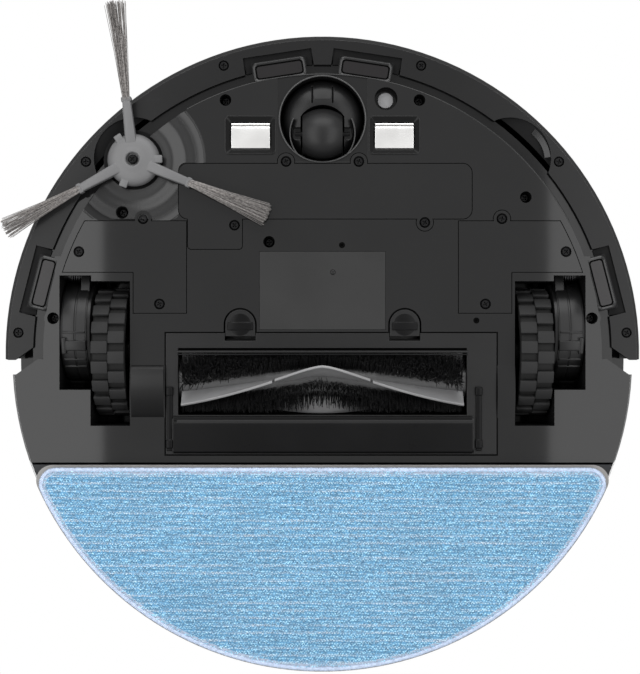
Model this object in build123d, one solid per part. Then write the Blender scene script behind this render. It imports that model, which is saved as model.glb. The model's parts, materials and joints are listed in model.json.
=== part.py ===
from build123d import *
import os
from math import acos, atan2, cos, degrees, pi, radians, sin, sqrt, tan

# Robot vacuum with a mop, in millimetres. It stands on the floor at z = 0, its front faces -Y,
# and the origin lies on the floor below the middle of the body.

os.makedirs("parts", exist_ok=True)

# Body
BODY_R = 175.0
BODY_H = 79.0
FLOOR_GAP = 9.5
WALL = 2.4
FIT = 0.4
PLATE_T = 3.0
PLATE_R = BODY_R - 27.65
FRONT_R = BODY_R - 21.0
REAR_R = BODY_R - 3.85
REAR_FLARE = 8.5
REAR_SHIFT = 3.5
SPLIT_Z = FLOOR_GAP + 33.5
FLOOR_Z = FLOOR_GAP + PLATE_T
BAY_Y = 57.2
DECK_T = 4.2
DECK_Z = BODY_H - DECK_T
FAR = 2 * BODY_R
HUMP_Y = 19.8
HUMP_W = 28.0
HUMP_H = 2.0

# Bumper
BUMPER_Z = FLOOR_GAP + 3.5
BUMPER_TOP = BODY_H - 16.6
BUMPER_T = 2.4
BUMPER_TRAVEL = 3.0
SHELF_Z = BUMPER_Z + BUMPER_T + FIT
LIP_IN = PLATE_R + 6.1
LIP_OUT = BODY_R - 8.5
BUMPER_WIDE_Z = BUMPER_Z + 30.0
BUMPER_END_X = BODY_R - 12.0
BUMPER_END_Y = 3.2
END_SLOPE = 0.7
END_RUN = 30.0
END_GAP = BUMPER_TRAVEL + 5.5
REAR_STEP = 13.0
FLANGE = 7.0
BOSS_H = 5.5
BUMPER_SCREW_R = LIP_OUT - 4.9
BUMPER_SCREW_ANGLES = (-86.0, -50.9, -18.9, 18.9, 50.9, 86.0)
WINDOW_ANGLES = (-75.7, -8.6, 8.6, 75.7)
WINDOW_R = PLATE_R + 4.6
WINDOW_L = 26.0
WINDOW_W = 8.3
WINDOW_T = 1.6
POD_RIM = 1.4
POD_D = 1.0
NOTCH_TOP = BUMPER_Z + BUMPER_T + 3.5
SIGHT_Z = 0.5 * (BUMPER_WIDE_Z + BUMPER_TOP)
SIGHT_H = 5.0
SIGHT_ANGLE = 30.0
PAD_Z = BUMPER_Z + 18.0
PAD_H = 11.0
BUMPER_SPRING_X = 18.0
BUMPER_SPRING_R = 4.0
BUMPER_SPRING_TURNS = 6
SWITCH_X = 40.0
SWITCH_L = 12.0
SWITCH_H = 7.0
SWITCH_D = 5.0
BAND_Z = BUMPER_TOP + 1.6

# Drive wheels
WHEEL_R = 34.5
WHEEL_Y = -1.0
TYRE_IN = BODY_R - 71.5
TYRE_W = 17.5
TYRE_T = 5.0
LUG_H = 2.2
LUG_L = 8.2
LUGS = 20
WELL_GAP = 2.0
AXLE_R = 3.0
RUN = 0.05
PIVOT_Y = -42.0
PIVOT_Z = WHEEL_R - 10.5
PIVOT_R = 2.0
PIVOT_BOSS_R = 4.0
CASE_IN = TYRE_IN + TYRE_W + 3.5
CASE_W = 11.7
CASE_R = 27.0
CASE_WALL = 1.5
CASE_Y = WHEEL_Y - 11.5
CASE_Z = WHEEL_R + 1.0
CASE_COVER_T = 1.4
GEAR_MODULE = 0.8
WHEEL_TEETH = 32
PINION_TEETH = 16
GEAR_W = 2.6
BACKLASH = 0.16
SPRING_WIRE = 1.1
WHEEL_SPRING_TURNS = 4
MOTOR_R = 11.0
MOTOR_SHAFT_R = 1.2
RIM_T = 3.0
RIM_HUB_R = 7.0
RIM_HOLES = 6
RIM_HOLE_R = 5.0
WEB_T = 4.5

# Caster
CASTER_CUP_R = 22.3
CASTER_Y = -(PLATE_R - CASTER_CUP_R - 1.05)
CASTER_TRAIL = 7.6
CASTER_R = 13.5
CASTER_W = 21.0
CASTER_PIN_R = 1.5
CASTER_CROWN = 3.5
STEM_R = 4.0
STEM_L = 15.0
CUP_TOP = 2 * CASTER_R + 5.0
CUP_RIM = 1.0
CUP_PROUD = 0.5
PANEL_X = 23.7
PANEL_D = 0.4
YOKE_STEP = 6.0
FORK_R = 16.9
FORK_W = 25.4
SLIT_X = 5.5
SLIT_W = 0.9
SLIT_L = 9.0

# Charging contacts and push button
CONTACT_L = 20.3
CONTACT_W = 13.4
BEZEL = 3.5
BEZEL_D = 2.0
CONTACT_X = CASTER_CUP_R + BEZEL + CONTACT_L / 2 + 2.05
CONTACT_Y = CASTER_Y + 8.5
POWER_X = 0.1914 * BODY_R
POWER_Y = CASTER_Y - 10.7
POWER_R = 4.1
POWER_COLLAR = 2.0
POWER_D = 6.5

# Side brush
BRUSH_FROM_MIDDLE = PLATE_R - 4.714
BRUSH_ANGLE = -44.233
BRUSH_X = BRUSH_FROM_MIDDLE * sin(radians(BRUSH_ANGLE))
BRUSH_Y = -BRUSH_FROM_MIDDLE * cos(radians(BRUSH_ANGLE))
HUB_R = 13.7
HUB_Z = 4.0
HUB_H = 7.0
ARM_ANGLES = (-96.3, 22.4, 151.2)
ARM_END = 33.0
ARM_W = 7.6
ARM_H = 4.6
BRUSH_REACH = 77.5
TUFT_TIP_W = 11.0
TUFT_ROWS = 4
TUFT_COLUMNS = 8
PLUG_W = 5.2
PLUG_H = 2.8
STRAND = 0.3
SPINDLE_R = 4.0
SPINDLE_UP = 9.0
SEAT_R = HUB_R + 1.5
SEAT_D = 4.0
DISH_R = 1.9 * SEAT_R
DISH_D = 2.5
DISH_LEAN = 8.0
NOTCH_R = SEAT_R + 6.5
BRUSH_MOTOR_R = 8.2
BRUSH_MOTOR_H = 26.0

# Roller and guard
ROLLER_Y = 14.5
ROLLER_R = 17.5
ROLLER_Z = ROLLER_R + 2.5
ROLLER_L = 2 * (TYRE_IN - 27.5)
CORE_R = 8.5
FIN_T = 1.6
FINS = 3
FIN_STEPS = 7
TWIST = 75.0
FIN_LEAD = -28.0
BUNCHES = 40
ROLLER_PIN_R = 3.0
DUCT_W = 6.0
MOUTH_R = ROLLER_R + 2.5
MOUTH_L = ROLLER_L + 8.8
GUARD_T = 2.5
GUARD_X0 = -ROLLER_L / 2 - 6.6
GUARD_X1 = ROLLER_L / 2 + 15.8
GUARD_Y0 = -11.0
GUARD_Y1 = 52.9
GUARD_WIN = ROLLER_L / 2 + 0.7
GUARD_WIN_Y0 = -3.2
GUARD_WIN_Y1 = 32.2
LATCH_X = 0.2855 * ROLLER_L
LATCH_W = 15.6
LATCH_Y0 = -23.4
LATCH_TRAVEL = 2.0
LATCH_GAP = FIT + 0.6
BAR_PROUD = 1.8
RIB_T = 0.8
GEARBOX_H = 12.0
ROLLER_MOTOR_L = 44.0

# Covers, screws and holes
COVER_T = 2.0
COVER_GAP = 0.45
BATTERY_Y0 = CASTER_Y + 23.4
BATTERY_Y1 = BATTERY_Y0 + 29.4
BATTERY_X0 = -0.4343 * BODY_R
BATTERY_X1 = 0.4514 * BODY_R
COVER_X = BATTERY_X1 - 7.3
COVER_Y1 = GUARD_Y0 - 10.5
SCREW_HEAD_R = 2.5
SCREW_HEAD_H = 1.5
SCREW_R = 1.3
SCREW_L = 5.0
TAB_R = 4.6
WHEEL_TAB = (COVER_X + 23.0, BATTERY_Y1 - 0.2)
BATTERY_TAB = (0.3086 * BODY_R, BATTERY_Y1 + 1.8)
CASTER_TAB = (CASTER_CUP_R - 3.1, BATTERY_Y0 - 1.0)
BORE_R = 3.1
BORE_D = 7.0
BATTERY_L = BATTERY_X1 - BATTERY_X0 - 23.0
BATTERY_W = 24.0
BATTERY_H = 37.0
LABEL_X = LATCH_X - LATCH_W / 2 - 2.1
LABEL_Y0 = BATTERY_Y1 + 16.9
LABEL_Y1 = GUARD_Y0 - 1.6
LABEL_T = 0.5

# Mop and tank
MOP_R = BODY_R - 11.5
MOP_SHIFT = 2.8
MOP_CORNER = 8.0
CLOTH_T = 4.5
MOP_PLATE_T = 3.0
TANK_Z = CLOTH_T + MOP_PLATE_T
TANK_TOP = SPLIT_Z - 7.6
TANK_GAP = 1.0
TANK_WALL = 1.8
FILL_R = 7.0
FILL_X = 0.514 * BODY_R
FILL_Y = 0.6 * BODY_R

# Top
LID_R = BODY_R - 57.0
LID_Y = 8.0
LID_T = 2.2
LID_GAP = 0.8
HINGE_Y = LID_Y - 0.678 * LID_R
HINGE_R = 2.6
HINGE_PIN_R = 1.5
BUTTON_Y = HINGE_Y - 34.0
START_R = 12.0
BUTTON_PROUD = 0.6
FINGER_R = 12.0

# Inside
FAN_X = -40.0
FAN_Y = 0.583 * BODY_R
FAN_R = 34.0
FAN_MOTOR_R = 12.0
FAN_SHAFT_R = 1.5
VANES = 9
BIN_GAP = 1.0
BIN_WALL = 2.0
FILTER_T = 13.6
BOARD_X = 0.3314 * BODY_R
BOARD_Y0 = -(FRONT_R - 20.0)
BOARD_Y1 = HINGE_Y - 10.0
BOARD_DROP = 9.0
POST_X = BOARD_X - 8.0
SPEAKER_R = 13.0
SPEAKER_FROM_MIDDLE = PLATE_R - 17.5
SPEAKER_ANGLE = 40.3


# Shapes that several pieces share
def block(x0, x1, y0, y1, z0, z1):
    """A box between two corners."""
    return Pos((x0 + x1) / 2, (y0 + y1) / 2, (z0 + z1) / 2) * Box(abs(x1 - x0), abs(y1 - y0), z1 - z0)


def post(x, y, r, z0, z1):
    """An upright cylinder."""
    return Pos(x, y, (z0 + z1) / 2) * Cylinder(r, z1 - z0)


def rod(r, x0, x1, y, z):
    """A cylinder along X."""
    return Pos((x0 + x1) / 2, y, z) * Rot(0, 90, 0) * Cylinder(r, abs(x1 - x0))


def slab(sketch, z0, z1):
    """A sketch raised from z0 to z1."""
    return extrude(Pos(0, 0, z0) * sketch, amount=z1 - z0)


def outline(points):
    """A flat face with straight edges."""
    return make_face(Polyline(*points, close=True))


def stadium(r):
    """The body's plan: two half circles, the rear one set back."""
    return Pos(0, REAR_SHIFT / 2) * SlotCenterToCenter(REAR_SHIFT, 2 * r, rotation=90)


def rear_side(shift):
    """The plan region behind the bumper's ends."""
    y = BUMPER_END_Y + END_GAP + shift
    inner = BUMPER_END_X - REAR_STEP
    y_in = y - REAR_STEP * END_SLOPE
    return outline([(-FAR, y), (-BUMPER_END_X, y), (-inner, y_in), (inner, y_in), (BUMPER_END_X, y),
                    (FAR, y), (FAR, FAR), (-FAR, FAR)])


def flared(inset, z0, z1):
    """The rear flank between two heights: it widens upward to its full radius."""
    slope = REAR_FLARE / (SPLIT_Z - FLOOR_GAP)
    base = stadium(REAR_R - REAR_FLARE - inset + (z0 - FLOOR_GAP) * slope)
    return extrude(Pos(0, 0, z0) * base, amount=z1 - z0, taper=-degrees(atan2(slope, 1)))


def around(r, angle):
    """A point at an angle from the front, seen from below."""
    return r * sin(radians(angle)), -r * cos(radians(angle))


def turned(angle):
    """A placing about the body's middle, its -Y side turned to an angle from the front."""
    return Rot(0, 0, angle)


def screw(z):
    """A pan head screw that stands head down on a seat at height z."""
    head = post(0, 0, SCREW_HEAD_R, z - SCREW_HEAD_H, z)
    slot = 0.35 * SCREW_HEAD_R
    deep = z - 0.55 * SCREW_HEAD_H
    low = z - SCREW_HEAD_H - 1
    cross = block(-2 * slot, 2 * slot, -slot / 2, slot / 2, low, deep)
    cross += block(-slot / 2, slot / 2, -2 * slot, 2 * slot, low, deep)
    return head + post(0, 0, SCREW_R, z, z + SCREW_L) - cross


def coil(r, wire, turns, length):
    """A coil spring along Z from the origin."""
    path = Helix(pitch=(length - wire) / turns, height=length - wire, radius=r)
    start = Plane(origin=path @ 0, z_dir=path % 0)
    return Pos(0, 0, wire / 2) * sweep(start * Circle(wire / 2), path=path, is_frenet=True)


def gear(teeth, width, bore):
    """A spur gear with involute teeth, one of them along local X."""
    pitch_r = GEAR_MODULE * teeth / 2
    pressure = radians(20)
    base_r = pitch_r * cos(pressure)
    tip_r = pitch_r + 0.8 * GEAR_MODULE
    root_r = pitch_r - 1.1 * GEAR_MODULE
    half_pitch = pi / (2 * teeth) - BACKLASH / (2 * pitch_r) + tan(pressure) - pressure
    start_r = max(base_r, root_r)
    flank = [(root_r, half_pitch)] if root_r < base_r else []
    for step in range(4):
        r = start_r + (tip_r - start_r) * step / 3
        spread = acos(min(1.0, base_r / r))
        flank.append((r, half_pitch - tan(spread) + spread))
    points = []
    for tooth in range(teeth):
        middle = 2 * pi * tooth / teeth
        points += [(r * cos(middle - a), r * sin(middle - a)) for r, a in flank]
        points += [(r * cos(middle + a), r * sin(middle + a)) for r, a in reversed(flank)]
    return extrude(outline(points), amount=width) - Pos(0, 0, width / 2) * Cylinder(bore, 2 * width)


def strand(start, end):
    """One bristle: a thin four sided bar between two points."""
    way = Vector(*end) - Vector(*start)
    return extrude(Plane(origin=start, z_dir=way) * Rectangle(STRAND, STRAND), amount=way.length)


def save(node, *shapes):
    """Writes a piece, or a group of equal pieces, under its node name."""
    solids = []
    for shape in shapes:
        solids += shape.solids()
    export_step(solids[0] if len(solids) == 1 else Compound(children=solids), f"parts/{node}.step")


def mirrored(shape):
    """The same piece on the other side."""
    return mirror(shape, about=Plane.YZ)


# Chassis: a tray with a step round its front for the bumper lip, wells, cups and bosses
bay = block(-FAR, FAR, BAY_Y, FAR, 0, TANK_TOP + TANK_GAP)
tray = slab(Circle(PLATE_R), FLOOR_GAP, SPLIT_Z) + slab(Circle(FRONT_R), SHELF_Z, SPLIT_Z)
tray += flared(0, FLOOR_GAP, SPLIT_Z) & slab(rear_side(0), FLOOR_GAP, SPLIT_Z)
room = slab(Circle(PLATE_R - WALL), FLOOR_Z, SPLIT_Z)
room += slab(Circle(FRONT_R - WALL), SHELF_Z + WALL, SPLIT_Z)
room += flared(WALL, FLOOR_Z, SPLIT_Z) & slab(rear_side(WALL), FLOOR_Z, SPLIT_Z)
room -= block(-FAR, FAR, BAY_Y - WALL, FAR, 0, TANK_TOP + TANK_GAP + WALL)
chassis = tray - bay - room

well_top = 2 * WHEEL_R + WELL_GAP
case_top = CASE_Z + CASE_R + WELL_GAP
tyre_x0 = TYRE_IN - WELL_GAP
case_x0 = TYRE_IN + TYRE_W + 1.0
case_x1 = CASE_IN + CASE_W + CASE_COVER_T + 1.2
well_y0 = WHEEL_Y - WHEEL_R - 1.5 * WELL_GAP
well_y1 = WHEEL_Y + WHEEL_R + 2.2 * WELL_GAP
case_y0 = CASE_Y - CASE_R - WELL_GAP
case_y1 = CASE_Y + CASE_R + 2.2 * WELL_GAP
pivot_y0 = PIVOT_Y - PIVOT_BOSS_R - WELL_GAP - SPRING_WIRE
cover_y = min(well_y0, case_y0) - 1.6
mouth_y0 = ROLLER_Y - MOUTH_R
mouth_y1 = ROLLER_Y + MOUTH_R
mouth_x = MOUTH_L / 2
duct_x = 0.7 * mouth_x
guard_z = FLOOR_GAP + GUARD_T
latch_mid = LATCH_Y0 + LATCH_W / 2
latch_y1 = GUARD_Y0 + 1.5
latch_end = latch_y1 + LATCH_TRAVEL + 0.5
case_screw_y = BATTERY_Y1 + 0.612 * (cover_y - BATTERY_Y1)
cover_screws = [(BATTERY_X0 + 29.6, BATTERY_Y1 + 3.2), BATTERY_TAB]
bores = [(-28.2, BATTERY_Y1 + 12.0), (41.55 - PLATE_R, BATTERY_Y1 - 3.6),
         (PLATE_R - 40.05, BATTERY_Y1 - 11.6)]
for side in (-1, 1):
    cover_screws += [(side * WHEEL_TAB[0], WHEEL_TAB[1]), (side * (CASE_IN + 4.0), case_screw_y),
                     (side * (COVER_X + 14.3), COVER_Y1 - 4.9)]
    cover_screws.append((side * CASTER_TAB[0], CASTER_TAB[1]))
    bores += [around(PLATE_R - 3.9, side * 20.9), (side * (PLATE_R - 5.2), WHEEL_Y - 17.9)]
hump_r = (HUMP_W ** 2 / 4 + HUMP_H ** 2) / (2 * HUMP_H)
hump = slab(Rectangle(FAR, FAR), FLOOR_GAP - HUMP_H, FLOOR_GAP + 1)
hump &= rod(hump_r, -tyre_x0, tyre_x0, HUMP_Y, FLOOR_GAP - HUMP_H + hump_r)
added = [hump]
for side in (-1, 1):
    added += [
        block(side * (tyre_x0 - WALL), side * (case_x0 + WALL), well_y0 - WALL, well_y1 + WALL,
              FLOOR_GAP, well_top + WALL),
        block(side * (case_x0 - WALL), side * (case_x1 + WALL), pivot_y0 - WALL, case_y1 + WALL,
              FLOOR_GAP, case_top + WALL),
        block(side * (CONTACT_X - CONTACT_L / 2 - BEZEL), side * (CONTACT_X + CONTACT_L / 2 + BEZEL),
              CONTACT_Y - CONTACT_W / 2 - BEZEL, CONTACT_Y + CONTACT_W / 2 + BEZEL,
              FLOOR_Z, FLOOR_GAP + BEZEL_D + WALL),
    ]
added += [
    rod(MOUTH_R + WALL, -mouth_x - WALL, mouth_x + WALL, ROLLER_Y, ROLLER_Z)
    & block(-FAR, FAR, -FAR, FAR, FLOOR_GAP, BODY_H),
    block(-mouth_x - WALL, mouth_x + WALL, mouth_y0 - WALL, mouth_y1 + WALL, FLOOR_GAP, ROLLER_Z),
    block(GUARD_X0 - WALL, GUARD_X1 + WALL, GUARD_Y0 - WALL, GUARD_Y1 + WALL, FLOOR_GAP, guard_z + WALL),
    post(0, CASTER_Y, CASTER_CUP_R + WALL, FLOOR_GAP, CUP_TOP + WALL),
    post(0, CASTER_Y, CASTER_CUP_R + CUP_RIM, FLOOR_GAP - CUP_PROUD, FLOOR_GAP),
    post(0, CASTER_Y, STEM_R + WALL, CUP_TOP, CUP_TOP + STEM_L + 2),
    post(POWER_X, POWER_Y, POWER_R + POWER_COLLAR + WALL, FLOOR_GAP, FLOOR_GAP + POWER_D + 1.5),
    post(BRUSH_X, BRUSH_Y, SEAT_R + 1.3, FLOOR_GAP + SEAT_D, SHELF_Z + WALL),
]
for side in (-1, 1):
    added.append(block(side * (LATCH_X - LATCH_W / 2 - 2), side * (LATCH_X + LATCH_W / 2 + 2),
                       LATCH_Y0 - 6, GUARD_Y0, FLOOR_GAP, guard_z + 2 * WALL))
for x, y in cover_screws:
    added.append(post(x, y, SCREW_HEAD_R + 1.2, FLOOR_GAP, FLOOR_GAP + COVER_T + SCREW_L + 1.5))
for x, y in bores:
    added.append(post(x, y, BORE_R + 1.5, FLOOR_GAP, FLOOR_GAP + BORE_D + SCREW_L + 2.5))
pod_l = WINDOW_L / 2 + POD_RIM
for angle in WINDOW_ANGLES:
    added.append(turned(angle) * block(-pod_l, pod_l, -WINDOW_R - WINDOW_W / 2 - POD_RIM,
                                       -WINDOW_R + WINDOW_W / 2 + POD_RIM, FLOOR_GAP + POD_D, SHELF_Z + WALL))
spring_pad = BUMPER_SPRING_R + 2.0
switch_pad = SWITCH_L / 2 + 1.0
spring_y = -FRONT_R - 0.5
switch_y = -FRONT_R + 0.5
for side in (-1, 1):
    added.append(block(side * BUMPER_SPRING_X - spring_pad, side * BUMPER_SPRING_X + spring_pad,
                       spring_y, -FRONT_R + 2 * WALL, PAD_Z, PAD_Z + PAD_H))
    added.append(block(side * SWITCH_X - switch_pad, side * SWITCH_X + switch_pad,
                       switch_y, -FRONT_R + 9, PAD_Z, PAD_Z + PAD_H))
chassis = chassis + added
chassis -= bay

cuts = []
for side in (-1, 1):
    bezel = Pos(side * CONTACT_X, CONTACT_Y, FLOOR_GAP + BEZEL_D) * RectangleRounded(
        CONTACT_L + 2 * FIT, CONTACT_W + 2 * FIT, 1.5)
    cuts += [
        block(side * tyre_x0, side * (case_x0 + 0.4), well_y0, well_y1, 0, well_top),
        block(side * case_x0, side * case_x1, case_y0, case_y1, 0, FLOOR_Z),
        block(side * case_x0, side * case_x1, pivot_y0, case_y1, FLOOR_Z, case_top),
        rod(PIVOT_R + RUN, side * (case_x0 - 2 * WALL), side * (case_x1 + 2 * WALL), PIVOT_Y, PIVOT_Z),
        extrude(bezel, amount=-BEZEL_D, taper=-degrees(atan2(BEZEL - FIT, BEZEL_D))),
    ]
    latch_x = side * LATCH_X
    pocket = Pos(latch_x, latch_mid) * Circle(LATCH_W / 2 + LATCH_GAP)
    pocket += Pos(latch_x, (latch_mid + latch_end) / 2) * Rectangle(
        LATCH_W + 2 * LATCH_GAP, latch_end - latch_mid)
    cuts.append(slab(pocket, 0, guard_z + WALL))
cuts += [
    rod(MOUTH_R, -mouth_x, mouth_x, ROLLER_Y, ROLLER_Z),
    block(-mouth_x, mouth_x, mouth_y0, mouth_y1, 0, ROLLER_Z),
    block(-duct_x, duct_x, ROLLER_Y - DUCT_W, ROLLER_Y + DUCT_W, ROLLER_Z, ROLLER_Z + MOUTH_R + 2 * WALL),
    block(GUARD_X0 - COVER_GAP, GUARD_X1 + COVER_GAP, GUARD_Y0 - COVER_GAP, GUARD_Y1 + COVER_GAP,
          0, guard_z),
    rod(SPINDLE_R + FIT, -mouth_x - 2 * WALL, -mouth_x + WALL, ROLLER_Y, ROLLER_Z),
    rod(CORE_R - 2, mouth_x - WALL, mouth_x + 2 * WALL, ROLLER_Y, ROLLER_Z),
    post(0, CASTER_Y, CASTER_CUP_R, 0, CUP_TOP),
    post(0, CASTER_Y, STEM_R + RUN, CUP_TOP, CUP_TOP + STEM_L + 0.5),
    post(POWER_X, POWER_Y, POWER_R + POWER_COLLAR, 0, FLOOR_GAP + POWER_D),
    post(POWER_X, POWER_Y, POWER_R + FIT, 0, FAR),
    post(BRUSH_X, BRUSH_Y, SEAT_R, 0, FLOOR_GAP + SEAT_D),
    post(BRUSH_X, BRUSH_Y, SPINDLE_R + FIT, 0, FAR),
    Pos(BRUSH_X, BRUSH_Y, FLOOR_GAP + DISH_D / 2) * Cone(DISH_R + DISH_LEAN, DISH_R - DISH_LEAN, DISH_D),
]
panel = block(-PANEL_X, PANEL_X, -FAR, BATTERY_Y0 - 1, 0, FLOOR_GAP + PANEL_D)
cuts.append(panel - post(0, CASTER_Y, CASTER_CUP_R + CUP_RIM, 0, FAR))
for angle in WINDOW_ANGLES:
    cuts.append(turned(angle) * block(-WINDOW_L / 2 - 0.1, WINDOW_L / 2 + 0.1,
                                      -WINDOW_R - WINDOW_W / 2 - 0.1, -WINDOW_R + WINDOW_W / 2 + 0.1,
                                      0, FLOOR_GAP + POD_D + WINDOW_T))
for x, y in cover_screws:
    cuts.append(post(x, y, SCREW_R, FLOOR_GAP, FLOOR_GAP + COVER_T + SCREW_L + 0.3))
for x, y in bores:
    cuts.append(post(x, y, BORE_R, 0, FLOOR_GAP + BORE_D))
    cuts.append(post(x, y, SCREW_R, FLOOR_GAP, FLOOR_GAP + BORE_D + SCREW_L + 0.3))


def battery_plan(grow):
    """The battery cover seen from below: a wide plate with a step and three screw tabs."""
    plan = Pos((BATTERY_X0 + BATTERY_X1) / 2, (BATTERY_Y0 + BATTERY_Y1) / 2) * RectangleRounded(
        BATTERY_X1 - BATTERY_X0 + 2 * grow, BATTERY_Y1 - BATTERY_Y0 + 2 * grow, 5 + grow)
    plan += Pos(-COVER_X + 15, BATTERY_Y1 + 3) * RectangleRounded(29 + 2 * grow, 26 + 2 * grow, 2 + grow)
    for x, y in (BATTERY_TAB, CASTER_TAB, (-CASTER_TAB[0], CASTER_TAB[1])):
        plan += Pos(x, y) * Circle(TAB_R + grow)
    return plan


def wheel_plan(grow):
    """The right wheel cover: an angled panel in front of and beside the wheel well."""
    x0 = COVER_X - grow
    y0 = BATTERY_Y1 + 2 * COVER_GAP - grow
    y_well = cover_y + grow
    x_well = tyre_x0 - 1.6 + grow
    plan = outline([(x0, y0), (FAR, y0), (FAR, y_well), (x_well, y_well), (x_well, COVER_Y1 + grow),
                    (x0, COVER_Y1 + grow)])
    return (plan & Circle(PLATE_R - 3.5 + grow)) + Pos(*WHEEL_TAB) * Circle(TAB_R + grow)


battery_cut = slab(battery_plan(COVER_GAP / 2), 0, FLOOR_GAP + COVER_T)
wheel_cut = slab(wheel_plan(COVER_GAP / 2), 0, FLOOR_GAP + COVER_T)
battery_mid = (BATTERY_Y0 + BATTERY_Y1) / 2
cell_room = block(-BATTERY_L / 2 - 1, BATTERY_L / 2 + 1, battery_mid - BATTERY_W / 2 - 1,
                  battery_mid + BATTERY_W / 2 + 1, 0, FLOOR_Z + 1)
label_cut = block(-LABEL_X, LABEL_X, LABEL_Y0, LABEL_Y1, 0, FLOOR_GAP + LABEL_T)
chassis = chassis - cuts - [battery_cut, wheel_cut, mirrored(wheel_cut), cell_room, label_cut]
save("chassis", chassis)

# Covers let into the underside, each seated on the tray and screwed
battery_cover = slab(battery_plan(-COVER_GAP / 2), FLOOR_GAP, FLOOR_GAP + COVER_T)
wheel_cover = slab(wheel_plan(-COVER_GAP / 2), FLOOR_GAP, FLOOR_GAP + COVER_T)
covers = {"battery_cover": battery_cover, "wheel_cover_right": wheel_cover,
          "wheel_cover_left": mirrored(wheel_cover)}
seat_z = FLOOR_GAP + SCREW_HEAD_H + 0.1
for node, cover in covers.items():
    for x, y in cover_screws:
        cover -= post(x, y, SCREW_HEAD_R + 0.4, 0, seat_z)
        cover -= post(x, y, SCREW_R, 0, FAR)
    save(node, cover)
screws = [Pos(x, y) * screw(seat_z) for x, y in cover_screws]
screws += [Pos(x, y) * screw(FLOOR_GAP + BORE_D) for x, y in bores]
save("underside_screws", *screws)
save("label_plate", block(-LABEL_X + FIT, LABEL_X - FIT, LABEL_Y0 + FIT, LABEL_Y1 - FIT,
                          FLOOR_GAP + 0.1, FLOOR_GAP + LABEL_T))
save("battery_pack", fillet(block(-BATTERY_L / 2, BATTERY_L / 2, battery_mid - BATTERY_W / 2,
                                  battery_mid + BATTERY_W / 2, FLOOR_GAP + COVER_T,
                                  FLOOR_GAP + COVER_T + BATTERY_H)
                            .edges().filter_by(Axis.X), 5))

# Charging contacts: pressed metal plates on the floors of their bezels
contacts = []
for side in (-1, 1):
    face = Pos(side * CONTACT_X, CONTACT_Y) * RectangleRounded(CONTACT_L, CONTACT_W, 1.4)
    contacts.append(slab(face, FLOOR_GAP + BEZEL_D - 1.0, FLOOR_GAP + BEZEL_D))
save("charging_contacts", *contacts)

# Power button: a stepped cap that stands on the floor of its recess
power_z = FLOOR_GAP + POWER_D + 1.5
save("power_button", post(POWER_X, POWER_Y, POWER_R, FLOOR_GAP + POWER_D - 1.0, power_z)
     + post(POWER_X, POWER_Y, POWER_R + 1.5, power_z, power_z + 1.2))

# Cliff windows: dark plates let into the pods
windows = []
for angle in WINDOW_ANGLES:
    flat = Pos(0, -WINDOW_R) * RectangleRounded(WINDOW_L, WINDOW_W, 1.2)
    windows.append(turned(angle) * slab(flat, FLOOR_GAP + POD_D - 0.1, FLOOR_GAP + POD_D + WINDOW_T))
save("cliff_windows", *windows)


# Bumper: a half ring that leans out upward, with a lip below and a flange on top
def bumper_out(z):
    """The bumper's outer radius at a height."""
    return LIP_OUT + (BODY_R - LIP_OUT) * min(1.0, (z - BUMPER_Z) / (BUMPER_WIDE_Z - BUMPER_Z))


section_points = [
    (LIP_IN, BUMPER_Z), (LIP_OUT, BUMPER_Z), (BODY_R, BUMPER_WIDE_Z), (BODY_R, BUMPER_TOP),
    (BODY_R - FLANGE, BUMPER_TOP), (BODY_R - FLANGE, BUMPER_TOP - BUMPER_T),
    (BODY_R - BUMPER_T, BUMPER_TOP - BUMPER_T), (BODY_R - BUMPER_T, BUMPER_WIDE_Z + 0.6),
    (bumper_out(BUMPER_Z + BUMPER_T) - BUMPER_T, BUMPER_Z + BUMPER_T), (LIP_IN, BUMPER_Z + BUMPER_T)]
bumper = revolve(Plane.XZ * outline(section_points), axis=Axis.Z)
for angle in BUMPER_SCREW_ANGLES:
    x, y = around(BUMPER_SCREW_R, angle)
    bumper += post(x, y, SCREW_HEAD_R + 0.7, BUMPER_Z, BUMPER_Z + BOSS_H)
    bumper -= post(x, y, SCREW_HEAD_R + 0.3, 0, BUMPER_Z + SCREW_HEAD_H)
    bumper -= post(x, y, SCREW_R, 0, FAR)
inner = BUMPER_END_X - END_RUN
end_y = BUMPER_END_Y
inner_y = end_y - END_RUN * END_SLOPE
bumper -= slab(outline([(-FAR, end_y), (-BUMPER_END_X, end_y), (-inner, inner_y), (inner, inner_y),
                        (BUMPER_END_X, end_y), (FAR, end_y), (FAR, FAR), (-FAR, FAR)]), 0, BODY_H)
for angle in WINDOW_ANGLES:
    half = pod_l + BUMPER_TRAVEL + 1.0
    front = -WINDOW_R - WINDOW_W / 2 - POD_RIM - BUMPER_TRAVEL - 0.8
    bumper -= turned(angle) * block(-half, half, front, 0, 0, NOTCH_TOP)
for side in (-1, 1):
    bumper -= post(side * BRUSH_X, BRUSH_Y - BUMPER_TRAVEL / 2, NOTCH_R, 0, NOTCH_TOP)


def sight(gap):
    """The band of the bumper's wall that the front sensors look through."""
    height = SIGHT_H - gap
    ring = post(0, 0, BODY_R - 0.01 - gap, SIGHT_Z - height, SIGHT_Z + height)
    ring -= post(0, 0, BODY_R - BUMPER_T - 1, 0, BODY_H)
    half = FAR * tan(radians(SIGHT_ANGLE - gap))
    return ring & slab(outline([(0, 0), (-half, -FAR), (half, -FAR)]), 0, BODY_H)


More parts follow.
